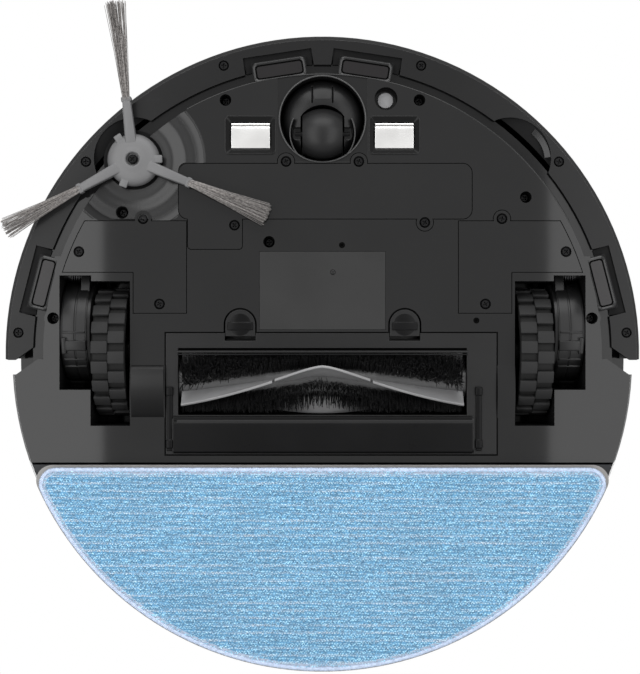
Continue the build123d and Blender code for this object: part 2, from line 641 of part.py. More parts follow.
bumper -= sight(-0.1)
save("bumper", bumper)
save("bumper_window", sight(0.0) - post(0, 0, BODY_R - BUMPER_T, 0, BODY_H))
save("bumper_screws", *[Pos(*around(BUMPER_SCREW_R, angle)) * screw(BUMPER_Z + SCREW_HEAD_H)
                        for angle in BUMPER_SCREW_ANGLES])
spring_z = PAD_Z + PAD_H / 2
spring_wall = bumper_out(spring_z - BUMPER_SPRING_R) - BUMPER_T - FIT
spring_end = -sqrt(spring_wall ** 2 - (BUMPER_SPRING_X + BUMPER_SPRING_R + 1) ** 2)
spring = coil(BUMPER_SPRING_R, SPRING_WIRE, BUMPER_SPRING_TURNS, spring_y - spring_end)
save("bumper_springs", *[Pos(side * BUMPER_SPRING_X, spring_y, spring_z) * Rot(90, 0, 0) * spring
                         for side in (-1, 1)])
switches = []
for side in (-1, 1):
    case = Pos(side * SWITCH_X, switch_y - SWITCH_D / 2, spring_z) * Box(SWITCH_L, SWITCH_D, SWITCH_H)
    key_x = side * (SWITCH_X - SWITCH_L / 4)
    switches.append(case + Pos(key_x, switch_y - SWITCH_D, spring_z) * Box(2, 3, 3))
save("bumper_switches", *switches)

# Drive wheels, built for the right side and mirrored for the left
wheel_plane = Plane(origin=(TYRE_IN, WHEEL_Y, WHEEL_R), x_dir=(0, 1, 0), z_dir=(1, 0, 0))
rim_r = WHEEL_R - LUG_H - TYRE_T
tyre = rod(WHEEL_R - LUG_H, TYRE_IN, TYRE_IN + TYRE_W, WHEEL_Y, WHEEL_R)
lug_half = TYRE_W / 2 - 0.6
lugs = []
for row in (0, 1):
    for step in range(LUGS):
        angle = (step + 0.5 * row) * 360 / LUGS
        lug = Pos(WHEEL_R - LUG_H / 2 - 0.6, 0, TYRE_W * 0.26 + row * TYRE_W * 0.48) * Box(
            LUG_H + 0.2, LUG_L, lug_half - 0.6)
        lugs.append(wheel_plane * Rot(0, 0, angle) * lug)
tyre = (tyre + lugs) & rod(WHEEL_R, TYRE_IN, TYRE_IN + TYRE_W, WHEEL_Y, WHEEL_R)
tyre += rod(WHEEL_R, TYRE_IN + TYRE_W / 2 - 0.7, TYRE_IN + TYRE_W / 2 + 0.7, WHEEL_Y, WHEEL_R)
tyre -= rod(rim_r, TYRE_IN - 1, TYRE_IN + TYRE_W + 1, WHEEL_Y, WHEEL_R)
rim = rod(rim_r, TYRE_IN + 1, TYRE_IN + TYRE_W - 1, WHEEL_Y, WHEEL_R)
dish = TYRE_W / 3
hole_at = Pos((RIM_HUB_R + rim_r - RIM_T) / 2, 0, TYRE_W / 2)
rim -= rod(rim_r - RIM_T, TYRE_IN, TYRE_IN + dish, WHEEL_Y, WHEEL_R)
rim -= rod(rim_r - RIM_T, TYRE_IN + TYRE_W - dish, TYRE_IN + TYRE_W, WHEEL_Y, WHEEL_R)
rim += rod(RIM_HUB_R, TYRE_IN + 1, TYRE_IN + TYRE_W - 1, WHEEL_Y, WHEEL_R)
rim -= [wheel_plane * Rot(0, 0, 360 / RIM_HOLES * hole) * hole_at * Cylinder(RIM_HOLE_R, TYRE_W)
        for hole in range(RIM_HOLES)]
rim -= rod(AXLE_R, TYRE_IN + 3, TYRE_IN + TYRE_W, WHEEL_Y, WHEEL_R)
to_case = atan2(CASE_Z - WHEEL_R, CASE_Y - WHEEL_Y)
gear_x = CASE_IN + CASE_WALL + 0.4
axle_plane = Plane(origin=(gear_x, WHEEL_Y, WHEEL_R), x_dir=(0, cos(to_case), sin(to_case)), z_dir=(1, 0, 0))
axle = axle_plane * gear(WHEEL_TEETH, GEAR_W, AXLE_R)
axle += rod(AXLE_R, TYRE_IN + 3, gear_x + GEAR_W, WHEEL_Y, WHEEL_R)
reach = GEAR_MODULE * (WHEEL_TEETH + PINION_TEETH) / 2
pinion_y = WHEEL_Y + reach * cos(to_case)
pinion_z = WHEEL_R + reach * sin(to_case)
turn_back = to_case + pi + pi / PINION_TEETH
pinion_plane = Plane(origin=(gear_x, pinion_y, pinion_z), x_dir=(0, cos(turn_back), sin(turn_back)),
                     z_dir=(1, 0, 0))
pinion = pinion_plane * gear(PINION_TEETH, GEAR_W, MOTOR_SHAFT_R)
pinion += rod(MOTOR_SHAFT_R, gear_x, gear_x + GEAR_W + 3.4, pinion_y, pinion_z)
case_x_end = CASE_IN + CASE_W
motor_x = gear_x + GEAR_W + 0.5
motor = rod(MOTOR_R, motor_x, case_x_end, pinion_y, pinion_z)
motor -= rod(MOTOR_SHAFT_R + RUN, motor_x - 1, motor_x + 4, pinion_y, pinion_z)
case = rod(CASE_R, CASE_IN, case_x_end, CASE_Y, CASE_Z)
link = rod(PIVOT_BOSS_R, CASE_IN, CASE_IN + WEB_T, PIVOT_Y, PIVOT_Z)
web = Plane(origin=(CASE_IN, 0, 0), x_dir=(0, 1, 0), z_dir=(1, 0, 0)) * outline(
    [(PIVOT_Y, PIVOT_Z - PIVOT_BOSS_R), (CASE_Y, CASE_Z - CASE_R + 6), (CASE_Y, CASE_Z + 4),
     (PIVOT_Y, PIVOT_Z + PIVOT_BOSS_R)])
case += extrude(web, amount=WEB_T) + link
case -= rod(CASE_R - CASE_WALL, CASE_IN + CASE_WALL, case_x_end, CASE_Y, CASE_Z)
barrel_r = PIVOT_R + 0.9
case += rod(barrel_r, CASE_IN, case_x_end, PIVOT_Y, PIVOT_Z)
case += rod(PIVOT_R, case_x0 - WALL, case_x1 + WALL, PIVOT_Y, PIVOT_Z)
case -= rod(AXLE_R + RUN, CASE_IN - 1, CASE_IN + CASE_WALL + 1, WHEEL_Y, WHEEL_R)
case_cover = rod(CASE_R, case_x_end, case_x_end + CASE_COVER_T, CASE_Y, CASE_Z)
spring_x = CASE_IN + WEB_T + 0.7
wheel_spring = Pos(spring_x, PIVOT_Y, PIVOT_Z) * Rot(0, 90, 0) * coil(
    barrel_r + FIT + SPRING_WIRE / 2, SPRING_WIRE, WHEEL_SPRING_TURNS, case_x_end - spring_x - FIT)
for node, shape in (("tyre", tyre), ("rim", rim), ("axle_gear", axle), ("motor_pinion", pinion),
                    ("drive_motor", motor), ("gear_case", case), ("gear_case_cover", case_cover)):
    save(node + "_right", shape)
    save(node + "_left", mirrored(shape))
save("wheel_springs", wheel_spring, mirrored(wheel_spring))

# Caster: a yoke that turns in the cup, with a barrel wheel on a pin
wheel_y = CASTER_Y + CASTER_TRAIL
yoke_r = CASTER_CUP_R - FIT
slot_x = CASTER_W / 2 + FIT
yoke_front = CASTER_Y - yoke_r
fork = Pos(0, wheel_y) * Circle(FORK_R) + Pos(0, (yoke_front + wheel_y) / 2) * Rectangle(
    FORK_W, wheel_y - yoke_front)
fork &= Pos(0, CASTER_Y) * Circle(yoke_r)
yoke = post(0, CASTER_Y, yoke_r, FLOOR_GAP + YOKE_STEP, CUP_TOP - FIT)
yoke += slab(fork, FLOOR_GAP - CUP_PROUD, FLOOR_GAP + YOKE_STEP)
yoke += post(0, CASTER_Y, STEM_R, CUP_TOP - FIT, CUP_TOP + STEM_L)
yoke -= block(-slot_x, slot_x, wheel_y - CASTER_R - FIT, CASTER_Y + yoke_r, 0, CASTER_R)
pin_end = CASTER_W / 2 + 4.0
slit_y = yoke_front + 2.5
for side in (-1, 1):
    yoke -= block(side * slot_x, side * (pin_end + FIT), wheel_y - 2 * CASTER_PIN_R,
                  wheel_y + 2 * CASTER_PIN_R, 0, CASTER_R)
    yoke -= block(side * SLIT_X - SLIT_W / 2, side * SLIT_X + SLIT_W / 2, slit_y, slit_y + SLIT_L,
                  0, FLOOR_GAP + YOKE_STEP / 2)
yoke -= rod(CASTER_R + 1.2, -slot_x, slot_x, wheel_y, CASTER_R)
yoke -= block(-slot_x, slot_x, wheel_y, CASTER_Y + yoke_r, 0, CASTER_R + 8)
yoke -= rod(CASTER_PIN_R, -pin_end, pin_end, wheel_y, CASTER_R)
save("caster_yoke", yoke)
half_w = CASTER_W / 2
edge_r = CASTER_R - CASTER_CROWN
profile = make_face([Line((-half_w, 0), (half_w, 0)), Line((half_w, 0), (half_w, edge_r)),
                     ThreePointArc((half_w, edge_r), (0, CASTER_R), (-half_w, edge_r)),
                     Line((-half_w, edge_r), (-half_w, 0))])
caster_wheel = Pos(0, wheel_y, CASTER_R) * revolve(profile, axis=Axis.X)
save("caster_wheel", caster_wheel - rod(CASTER_PIN_R + RUN, -FAR, FAR, wheel_y, CASTER_R))
save("caster_pin", rod(CASTER_PIN_R, -pin_end, pin_end, wheel_y, CASTER_R))

# Side brush: hub with three sleeves, a bundle of bristles in each, one screw, and the motor above
at_brush = Pos(BRUSH_X, BRUSH_Y)
hub = post(0, 0, HUB_R, HUB_Z, HUB_Z + HUB_H)
hub = chamfer(hub.edges().filter_by(GeomType.CIRCLE).sort_by(Axis.Z)[:1], 1.6)
sleeve_z = HUB_Z + ARM_H / 2 + 0.6
plug_r0 = ARM_END - 5.0
bundles = []
for angle in ARM_ANGLES:
    sleeve = slab(outline([(HUB_R - 6, -ARM_W / 2 - 1.2), (ARM_END, -ARM_W / 2), (ARM_END, ARM_W / 2),
                           (HUB_R - 6, ARM_W / 2 + 1.2)]), sleeve_z - ARM_H / 2, sleeve_z + ARM_H / 2)
    hub += Rot(0, 0, angle) * sleeve
    tab = block(HUB_R - 2, HUB_R + 1.0, -2, 2, HUB_Z + 1.8, HUB_Z + HUB_H - 1)
    hub += Rot(0, 0, angle - 28) * tab
plug_y = PLUG_W / 2
plug_z0 = sleeve_z - PLUG_H / 2
plug_z1 = sleeve_z + PLUG_H / 2
for angle in ARM_ANGLES:
    hub -= Rot(0, 0, angle) * block(plug_r0, ARM_END + 1, -plug_y, plug_y, plug_z0, plug_z1)
    plug = block(plug_r0, plug_r0 + 2.0, -plug_y, plug_y, plug_z0, plug_z1)
    hairs = []
    for row in range(TUFT_ROWS):
        for column in range(TUFT_COLUMNS):
            across = 2 * (column + 0.5 * (row % 2) + 0.25) / TUFT_COLUMNS - 1
            up = (2 * row + 1 - TUFT_ROWS) / TUFT_ROWS
            start = (plug_r0 + 1.0, 2.0 * across, sleeve_z + 0.95 * up)
            bend = 1.0 - 0.05 * across * across - 0.012 * (3 * column + 5 * row) % 0.03
            end = (BRUSH_REACH * bend, TUFT_TIP_W / 2 * across, HUB_Z - 0.6 + 1.5 * up)
            hairs.append(strand(start, end))
    bundles.append(at_brush * Rot(0, 0, angle) * (plug + hairs))
hub += post(0, 0, SPINDLE_R + 1.4, HUB_Z - 0.5, HUB_Z + 1)
hub -= post(0, 0, SCREW_HEAD_R + 0.6, 0, HUB_Z + 1.5)
hub -= post(0, 0, SCREW_R, 0, FAR)
hub -= post(0, 0, SPINDLE_R, HUB_Z + 3, FAR)
save("side_brush_hub", at_brush * hub)
save("side_brush_bristles", *bundles)
save("side_brush_screw", at_brush * screw(HUB_Z + 1.5))
seat_top = SHELF_Z + WALL
spindle_top = seat_top + SPINDLE_UP
spindle = post(0, 0, SPINDLE_R, HUB_Z + 3, spindle_top) - post(0, 0, SCREW_R, 0, HUB_Z + 1.5 + SCREW_L)
save("side_brush_spindle", at_brush * spindle)
brush_motor = post(0, 0, BRUSH_MOTOR_R, seat_top, seat_top + BRUSH_MOTOR_H)
brush_motor -= post(0, 0, SPINDLE_R + RUN, 0, spindle_top + 0.5)
save("side_brush_motor", at_brush * brush_motor)

# Roller: core with drive end, three fins and three bristle rows set in a chevron, and its end bush
half_l = ROLLER_L / 2
core = rod(CORE_R, -half_l, half_l, ROLLER_Y, ROLLER_Z)
core += rod(SPINDLE_R, -mouth_x - WALL - 6, -half_l, ROLLER_Y, ROLLER_Z)
core += rod(ROLLER_PIN_R, half_l, mouth_x + WALL, ROLLER_Y, ROLLER_Z)
save("roller_core", core)
save("roller_bush", rod(CORE_R - 2, half_l + 0.6, mouth_x + WALL, ROLLER_Y, ROLLER_Z)
     - rod(ROLLER_PIN_R + RUN, half_l, FAR, ROLLER_Y, ROLLER_Z))


def roller_angle(lead, x):
    """How FAR a fin or row stands round from straight down, at a place along the roller."""
    return lead + TWIST * abs(x) / half_l


def roller_plane(lead, x):
    """A plane across the roller: local X across the fin, local Y outward."""
    a = radians(roller_angle(lead, x))
    return Plane(origin=(x, ROLLER_Y, ROLLER_Z), x_dir=(0, cos(a), sin(a)), z_dir=(-1, 0, 0))


fins = []
fin_pitch = 360 / FINS
foot_r = CORE_R + 0.1
tip_r = ROLLER_R - 0.5
for number in range(FINS):
    sections = []
    for step in range(-FIN_STEPS, FIN_STEPS + 1):
        place = roller_plane(FIN_LEAD + fin_pitch * number, half_l * step / FIN_STEPS)
        sections.append(place * Pos(0, -(foot_r + tip_r) / 2) * Rectangle(FIN_T, tip_r - foot_r))
    fins.append(loft(sections, ruled=True))
save("roller_fins", *fins)
rows = []
for number in range(FINS):
    pieces = []
    for bunch in range(BUNCHES):
        x = (half_l - 2) * (2 * bunch / (BUNCHES - 1) - 1)
        place = roller_plane(FIN_LEAD + fin_pitch * (number + 0.5), x)
        pieces.append(place * Pos(0, -CORE_R - 0.52, 0) * Box(2.6, 1.0, ROLLER_L / BUNCHES + 0.4))
        for lean in (-1, 0, 1):
            foot = place.from_local_coords((0.5 * lean, -CORE_R - 0.8, 0.5 * lean))
            tip = place.from_local_coords((1.5 * lean, -ROLLER_R + 0.35 * abs(lean), 1.2 * lean))
            pieces.append(strand(tuple(foot), tuple(tip)))
    rows.append(pieces[0] + pieces[1:])
save("roller_bristles", *rows)
motor_y = (mouth_y1 + WALL + BAY_Y - WALL) / 2
roller_motor_r = (BAY_Y - mouth_y1 - 2 * WALL) / 2 - 0.6
gearbox_x0 = -tyre_x0 + WALL + 0.6
gearbox_x1 = -mouth_x - WALL - 0.3
gearbox_z = guard_z + WALL
roller_motor = block(gearbox_x0, gearbox_x1, ROLLER_Y - 2 * SPINDLE_R, motor_y + roller_motor_r, gearbox_z,
                     ROLLER_Z + GEARBOX_H)
roller_motor += rod(roller_motor_r, gearbox_x1, gearbox_x1 + ROLLER_MOTOR_L, motor_y,
                    gearbox_z + roller_motor_r)
roller_motor -= rod(SPINDLE_R + RUN, -mouth_x - WALL - 6.5, 0, ROLLER_Y, ROLLER_Z)
save("roller_motor", roller_motor)

# Brush guard: a frame with a rounded bar behind the mouth, two ribs in front, and sprung latch tabs
guard = block(GUARD_X0, GUARD_X1, GUARD_Y0, GUARD_Y1, FLOOR_GAP, guard_z)
bar = block(GUARD_X0 + 6, GUARD_X1 - 12, GUARD_WIN_Y1 + 0.5, GUARD_Y1 - 0.6, FLOOR_GAP - BAR_PROUD, guard_z)
bar = fillet(bar.edges().filter_by(Axis.X).group_by(Axis.Z)[0], 3.4)
guard = guard - block(-GUARD_WIN, GUARD_WIN, GUARD_WIN_Y0, GUARD_WIN_Y1, 0, FAR) + bar
rib_y = GUARD_WIN_Y0 + 2 * RIB_T
guard += block(-GUARD_WIN, GUARD_WIN, rib_y, rib_y + RIB_T, FLOOR_GAP - 1.0, FLOOR_GAP + 0.4)
for side in (-1, 1):
    latch_x = side * LATCH_X
    guard -= block(latch_x - LATCH_W / 2 - FIT, latch_x + LATCH_W / 2 + FIT, GUARD_Y0 - 1, latch_end, 0, FAR)
    guard += block(side * (GUARD_WIN - 0.5), side * GUARD_WIN, GUARD_WIN_Y0, GUARD_WIN_Y1, FLOOR_GAP, guard_z)
    for rib in (0, 3 * RIB_T):
        rib_x = side * GUARD_WIN - rib
        guard += block(rib_x, rib_x + RIB_T, GUARD_WIN_Y1 + 2, GUARD_Y1 - 2, FLOOR_GAP - 1.2, guard_z)
save("brush_guard", guard)
for side, node in ((-1, "guard_latch_left"), (1, "guard_latch_right")):
    tab = Pos(side * LATCH_X, latch_mid) * Circle(LATCH_W / 2)
    tab += Pos(side * LATCH_X, (latch_mid + latch_y1) / 2) * Rectangle(LATCH_W, latch_y1 - latch_mid)
    tab -= Pos(side * LATCH_X, latch_y1 + LATCH_W) * Rectangle(2 * LATCH_W, 2 * LATCH_W)
    save(node, slab(tab, FLOOR_GAP, guard_z + WALL))


# Mop: cloth on a plate below the water tank, which fills the bay at the rear
def mop_plan(inset):
    """The mop seen from below: a wide segment of a circle with rounded corners."""
    front = BAY_Y + TANK_GAP + inset
    plan = Pos(0, MOP_SHIFT) * Circle(MOP_R - inset)
    plan &= Pos(0, front + BODY_R) * Rectangle(FAR, 2 * BODY_R)
    return fillet(plan.vertices(), MOP_CORNER)


cloth = slab(mop_plan(1.2), 0, CLOTH_T)
cloth = fillet(cloth.faces().sort_by(Axis.Z)[0].edges(), 1.5)
save("mop_cloth", cloth)
save("mop_plate", slab(mop_plan(0), CLOTH_T, TANK_Z))
tank_front = block(-FAR, FAR, BAY_Y + TANK_GAP, FAR, 0, BODY_H)
tank = flared(0, TANK_Z, TANK_TOP) & tank_front
hollow = flared(TANK_WALL, TANK_Z + TANK_WALL, TANK_TOP - TANK_WALL)
hollow &= block(-FAR, FAR, BAY_Y + TANK_GAP + TANK_WALL, FAR, 0, BODY_H)
tank = tank - hollow - post(FILL_X, FILL_Y, FILL_R, TANK_TOP - 2 * TANK_WALL, BODY_H)
save("water_tank", tank)
save("tank_plug", post(FILL_X, FILL_Y, FILL_R, TANK_TOP - TANK_WALL - 3, TANK_TOP)
     + post(FILL_X, FILL_Y, FILL_R + 2, TANK_TOP, TANK_TOP + 0.6 * TANK_GAP))

# Top cover: walls, a band that overhangs the bumper, and the deck with its lid seat
cover = slab(Circle(FRONT_R), SPLIT_Z, BODY_H)
cover += slab(stadium(REAR_R), SPLIT_Z, BODY_H - 1) & slab(rear_side(0), SPLIT_Z, BODY_H - 1)
band = fillet(slab(stadium(REAR_R), BAND_Z, BODY_H).edges().group_by(Axis.Z)[-1], 6.0)
cover = cover + band
space = slab(Circle(FRONT_R - WALL), SPLIT_Z, DECK_Z)
space += slab(stadium(REAR_R - WALL), SPLIT_Z, DECK_Z - 4) & slab(rear_side(WALL), SPLIT_Z, DECK_Z - 4)
cover -= space
seat = DECK_Z + 1.6
hinge_z = BODY_H - HINGE_R


def lid_plan(grow):
    """The lid seen from above: a circle cut off at the hinge line."""
    plan = Pos(0, LID_Y) * Circle(LID_R + grow)
    return plan & Pos(0, HINGE_Y + BODY_R) * Rectangle(FAR, 2 * BODY_R)


hinge_x = sqrt(LID_R ** 2 - (HINGE_Y - LID_Y) ** 2) - 3.0
bin_x = tyre_x0 - WALL - 4.0
bin_y0 = HINGE_Y + 20.0
bin_y1 = BAY_Y - 6.0
cover += block(-hinge_x - 8, hinge_x + 8, HINGE_Y - 6, HINGE_Y + 6, hinge_z - HINGE_R - 3, DECK_Z)
board_z = DECK_Z - BOARD_DROP
for x in (-POST_X, POST_X):
    for y in (BOARD_Y0 + 6, BOARD_Y1 - 6):
        cover += post(x, y, 3, board_z, DECK_Z)
cover -= slab(lid_plan(LID_GAP), seat, FAR)
corner_x = sqrt(LID_R ** 2 - (HINGE_Y + HINGE_R + FIT - LID_Y) ** 2) + FIT
cover -= block(-corner_x, corner_x, HINGE_Y, HINGE_Y + 2 * HINGE_R, seat, FAR)
cover -= rod(HINGE_R + FIT, -hinge_x - FIT, hinge_x + FIT, HINGE_Y, hinge_z)
cover -= block(-hinge_x - FIT, hinge_x + FIT, HINGE_Y - HINGE_R - FIT, HINGE_Y + HINGE_R + FIT, hinge_z, FAR)
cover -= rod(HINGE_PIN_R + RUN, -hinge_x - 6, hinge_x + 6, HINGE_Y, hinge_z)
cover -= block(-bin_x, bin_x, bin_y0, bin_y1, 0, FAR)
cover -= Pos(0, LID_Y + LID_R, BODY_H + FINGER_R / 2) * Sphere(FINGER_R)
cover -= post(0, BUTTON_Y, START_R + FIT, 0, FAR)
save("top_cover", cover)
cap = post(0, BUTTON_Y, START_R, DECK_Z - 1, BODY_H + BUTTON_PROUD)
cap = chamfer(cap.edges().sort_by(Axis.Z)[-1:], 0.4)
save("start_button", cap + post(0, BUTTON_Y, START_R + 1.5, DECK_Z - 2, DECK_Z))
lid = slab(lid_plan(0), BODY_H - LID_T, BODY_H)
lid -= block(-FAR, FAR, HINGE_Y - 9, HINGE_Y + HINGE_R + FIT, 0, FAR)
lid += block(-hinge_x, hinge_x, HINGE_Y, HINGE_Y + HINGE_R + 3, BODY_H - LID_T, BODY_H)
lid += rod(HINGE_R, -hinge_x, hinge_x, HINGE_Y, hinge_z)
save("lid", lid + rod(HINGE_PIN_R, -hinge_x - 5.5, hinge_x + 5.5, HINGE_Y, hinge_z))

# Inside: dust bin with its filter, fan, main board and speaker
bin_z = max(ROLLER_Z + MOUTH_R, ROLLER_Z + GEARBOX_H) + WALL + FIT
out_x = bin_x - BIN_GAP
out_y0 = bin_y0 + BIN_GAP
out_y1 = bin_y1 - BIN_GAP
in_x = out_x - BIN_WALL
in_y1 = out_y1 - BIN_WALL
dust_bin = block(-out_x, out_x, out_y0, out_y1, bin_z, DECK_Z)
dust_bin -= block(-in_x, in_x, out_y0 + BIN_WALL, in_y1, bin_z + BIN_WALL, BODY_H)
dust_bin -= block(-duct_x, duct_x, ROLLER_Y - DUCT_W, ROLLER_Y + DUCT_W, 0, BODY_H)
save("dust_bin", dust_bin)
save("dust_filter", block(-0.8 * bin_x, 0.8 * bin_x, in_y1 - FILTER_T - FIT, in_y1 - FIT, bin_z + BIN_WALL,
                          DECK_Z - 2 * BIN_WALL))
at_fan = Pos(FAN_X, FAN_Y)
fan_z = TANK_TOP + TANK_GAP + WALL
fan_top = DECK_Z - 6
fan_mid = fan_z + 0.45 * (fan_top - fan_z)
housing = post(0, 0, FAN_R, fan_z, fan_top) - post(0, 0, FAN_R - 2, fan_z + 2, fan_top - 2)
housing -= post(0, 0, FAN_MOTOR_R + 2, fan_z + 3, BODY_H)
save("fan_housing", at_fan * housing)
fan_motor = post(0, 0, FAN_MOTOR_R, fan_z + 2, fan_mid) - post(0, 0, FAN_SHAFT_R + RUN, fan_z + 6, BODY_H)
save("fan_motor", at_fan * fan_motor)
disc_z = fan_mid + 1
vane_top = fan_top - 4
impeller = post(0, 0, FAN_R - 5, disc_z, disc_z + 1.6) + post(0, 0, FAN_SHAFT_R, fan_z + 7, disc_z + 1)
impeller += post(0, 0, FAN_MOTOR_R / 2, disc_z, vane_top)
for vane in range(VANES):
    impeller += Rot(0, 0, 360 / VANES * vane) * block(4, FAN_R - 6, -0.6, 0.6, disc_z, vane_top)
save("fan_impeller", at_fan * impeller)
save("main_board", block(-BOARD_X, BOARD_X, BOARD_Y0, BOARD_Y1, board_z - 1.6, board_z))
speaker = post(0, 0, SPEAKER_R, FLOOR_Z, FLOOR_Z + 6)
speaker += post(0, 0, 0.6 * SPEAKER_R, FLOOR_Z, FLOOR_Z + SPEAKER_R)
save("speaker", Pos(*around(SPEAKER_FROM_MIDDLE, SPEAKER_ANGLE)) * speaker)
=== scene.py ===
import bmesh
import bpy
import json
import math
import random
from mathutils import Matrix, Vector


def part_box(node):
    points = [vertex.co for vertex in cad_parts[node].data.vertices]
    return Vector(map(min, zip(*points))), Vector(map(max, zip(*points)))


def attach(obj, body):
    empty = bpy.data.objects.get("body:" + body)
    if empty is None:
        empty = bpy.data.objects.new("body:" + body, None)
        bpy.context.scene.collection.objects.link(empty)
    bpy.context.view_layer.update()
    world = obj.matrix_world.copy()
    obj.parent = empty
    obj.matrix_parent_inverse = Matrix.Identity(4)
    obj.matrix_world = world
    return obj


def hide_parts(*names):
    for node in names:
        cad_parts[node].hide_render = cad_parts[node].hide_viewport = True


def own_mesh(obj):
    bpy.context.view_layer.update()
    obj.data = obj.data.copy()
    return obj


# Frame
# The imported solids, in metres, standing on the floor with the bumper towards -Y. Those whose shape
# is right keep it and get a finish; the rest are made below. Shapes are drawn in millimetres.
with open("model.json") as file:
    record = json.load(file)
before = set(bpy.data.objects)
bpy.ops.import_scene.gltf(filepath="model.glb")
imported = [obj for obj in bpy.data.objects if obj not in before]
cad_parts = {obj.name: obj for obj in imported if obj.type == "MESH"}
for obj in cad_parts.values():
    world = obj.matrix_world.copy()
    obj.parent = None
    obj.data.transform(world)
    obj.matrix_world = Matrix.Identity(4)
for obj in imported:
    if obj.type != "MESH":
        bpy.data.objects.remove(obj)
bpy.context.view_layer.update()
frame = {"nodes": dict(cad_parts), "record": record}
scene = bpy.context.scene
MM = 0.001
joints = {joint["name"]: joint for joint in frame["record"]["behaviour"]["joints"]}


def joint_at(name):
    """A joint's place at rest, in millimetres."""
    return Vector(joints[name]["pos_m"]) / MM


def box_of(node):
    """A node's lowest and highest corner at rest, in millimetres."""
    low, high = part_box(node)
    return low / MM, high / MM


# Underside, covers, bumper and top shell
# Black satin ABS, injection moulded with a fine spark-eroded grain. The covers are screwed on from
# below, the bumper slides in its own slots, and edges that meet a wall or a hand are rubbed paler.


def connect(tree, socket, value):
    """Links a socket to another one, or gives it a value."""
    if isinstance(value, bpy.types.NodeSocket):
        tree.links.new(value, socket)
    else:
        socket.default_value = value


def add_node(tree, kind, inputs=(), **options):
    """Adds a node with its options and inputs set."""
    node = tree.nodes.new(kind)
    for name, value in options.items():
        setattr(node, name, value)
    for key, value in dict(inputs).items():
        connect(tree, node.inputs[key], value)
    return node


def sums(tree, operation, first, second=0.0):
    """One step of arithmetic in a node tree."""
    return add_node(tree, "ShaderNodeMath", {0: first, 1: second}, operation=operation).outputs[0]


def spread(tree, value, low, high, to_low, to_high):
    """Maps a value from one range to another, held inside it."""
    inputs = {"Value": value, 1: low, 2: high, 3: to_low, 4: to_high}
    return add_node(tree, "ShaderNodeMapRange", inputs).outputs[0]


def mix_colours(tree, amount, first, second):
    """A colour between two, by an amount from 0 to 1."""
    inputs = {0: amount, 6: first, 7: second}
    return add_node(tree, "ShaderNodeMix", inputs, data_type="RGBA").outputs[2]


def noise(tree, place, scale, detail=2.0, rough=0.5):
    """Smooth noise from 0 to 1; the scale is in waves a metre."""
    inputs = {"Vector": place, "Scale": scale, "Detail": detail, "Roughness": rough}
    return add_node(tree, "ShaderNodeTexNoise", inputs).outputs["Fac"]


def open_group(name, inputs, outputs, kind="ShaderNodeTree"):
    """A node group with named sockets; returns its tree, its inputs and its output node."""
    tree = bpy.data.node_groups.new(name, kind)
    for label, socket in inputs.items():
        tree.interface.new_socket(label, in_out="INPUT", socket_type="NodeSocket" + socket)
    for label, socket in outputs.items():
        tree.interface.new_socket(label, in_out="OUTPUT", socket_type="NodeSocket" + socket)
    return tree, tree.nodes.new("NodeGroupInput").outputs, tree.nodes.new("NodeGroupOutput")


def use_group(tree, group, inputs):
    """Places a shader group in a material and returns its outputs."""
    node = tree.nodes.new("ShaderNodeGroup")
    node.node_tree = group
    for key, value in inputs.items():
        connect(tree, node.inputs[key], value)
    return node.outputs


grain_inputs = {"Vector": "Vector", "Grain": "Float", "Patch": "Float"}
grain_outputs = {"Height": "Float", "Tone": "Float", "Scuff": "Float"}
SCUFF_SCALE = (40, 900, 900)
SCUFF_TURN = (0.1, 0.2, 0.7)
moulded_grain, inlet, outlet = open_group("moulded_grain", grain_inputs, grain_outputs)
connect(moulded_grain, outlet.inputs["Height"], noise(moulded_grain, inlet["Vector"], inlet["Grain"]))
connect(moulded_grain, outlet.inputs["Tone"], noise(moulded_grain, inlet["Vector"], inlet["Patch"], 5.0))
streak_inputs = {"Vector": inlet["Vector"], "Rotation": SCUFF_TURN, "Scale": SCUFF_SCALE}
streaks = add_node(moulded_grain, "ShaderNodeMapping", streak_inputs)
lines = noise(moulded_grain, streaks.outputs[0], 1.0, 3.0)
connect(moulded_grain, outlet.inputs["Scuff"], spread(moulded_grain, lines, 0.66, 0.78, 0.0, 1.0))

edge_inputs = {"Radius": "Float"}
edge_outputs = {"Normal": "Vector", "Edge": "Float"}
rounded_edges, inlet, outlet = open_group("rounded_edges", edge_inputs, edge_outputs)
soft = add_node(rounded_edges, "ShaderNodeBevel", {"Radius": inlet["Radius"]}, samples=6)
plain = rounded_edges.nodes.new("ShaderNodeNewGeometry")
turn_inputs = {0: soft.outputs[0], 1: plain.outputs["Normal"]}
turn = add_node(rounded_edges, "ShaderNodeVectorMath", turn_inputs, operation="DOT_PRODUCT")
connect(rounded_edges, outlet.inputs["Normal"], soft.outputs[0])
edge_mask = spread(rounded_edges, turn.outputs["Value"], 0.995, 0.8, 0.0, 1.0)
connect(rounded_edges, outlet.inputs["Edge"], edge_mask)


def new_material(name):
    """An empty material with its tree, its Object coordinates and its surface shader."""
    material = bpy.data.materials.new(name)
    material.use_nodes = True
    tree = material.node_tree
    tree.nodes.clear()
    place = tree.nodes.new("ShaderNodeTexCoord").outputs["Object"]
    shader = tree.nodes.new("ShaderNodeBsdfPrincipled")
    output = tree.nodes.new("ShaderNodeOutputMaterial")
    tree.links.new(shader.outputs[0], output.inputs["Surface"])
    return material, tree, place, shader


def tint(colour, amount):
    """A colour made lighter or darker, with full alpha."""
    return tuple(min(channel * amount, 1.0) for channel in colour) + (1.0,)


PATCH_SCALE = 28.0
GRAIN_DEPTH = 0.0001


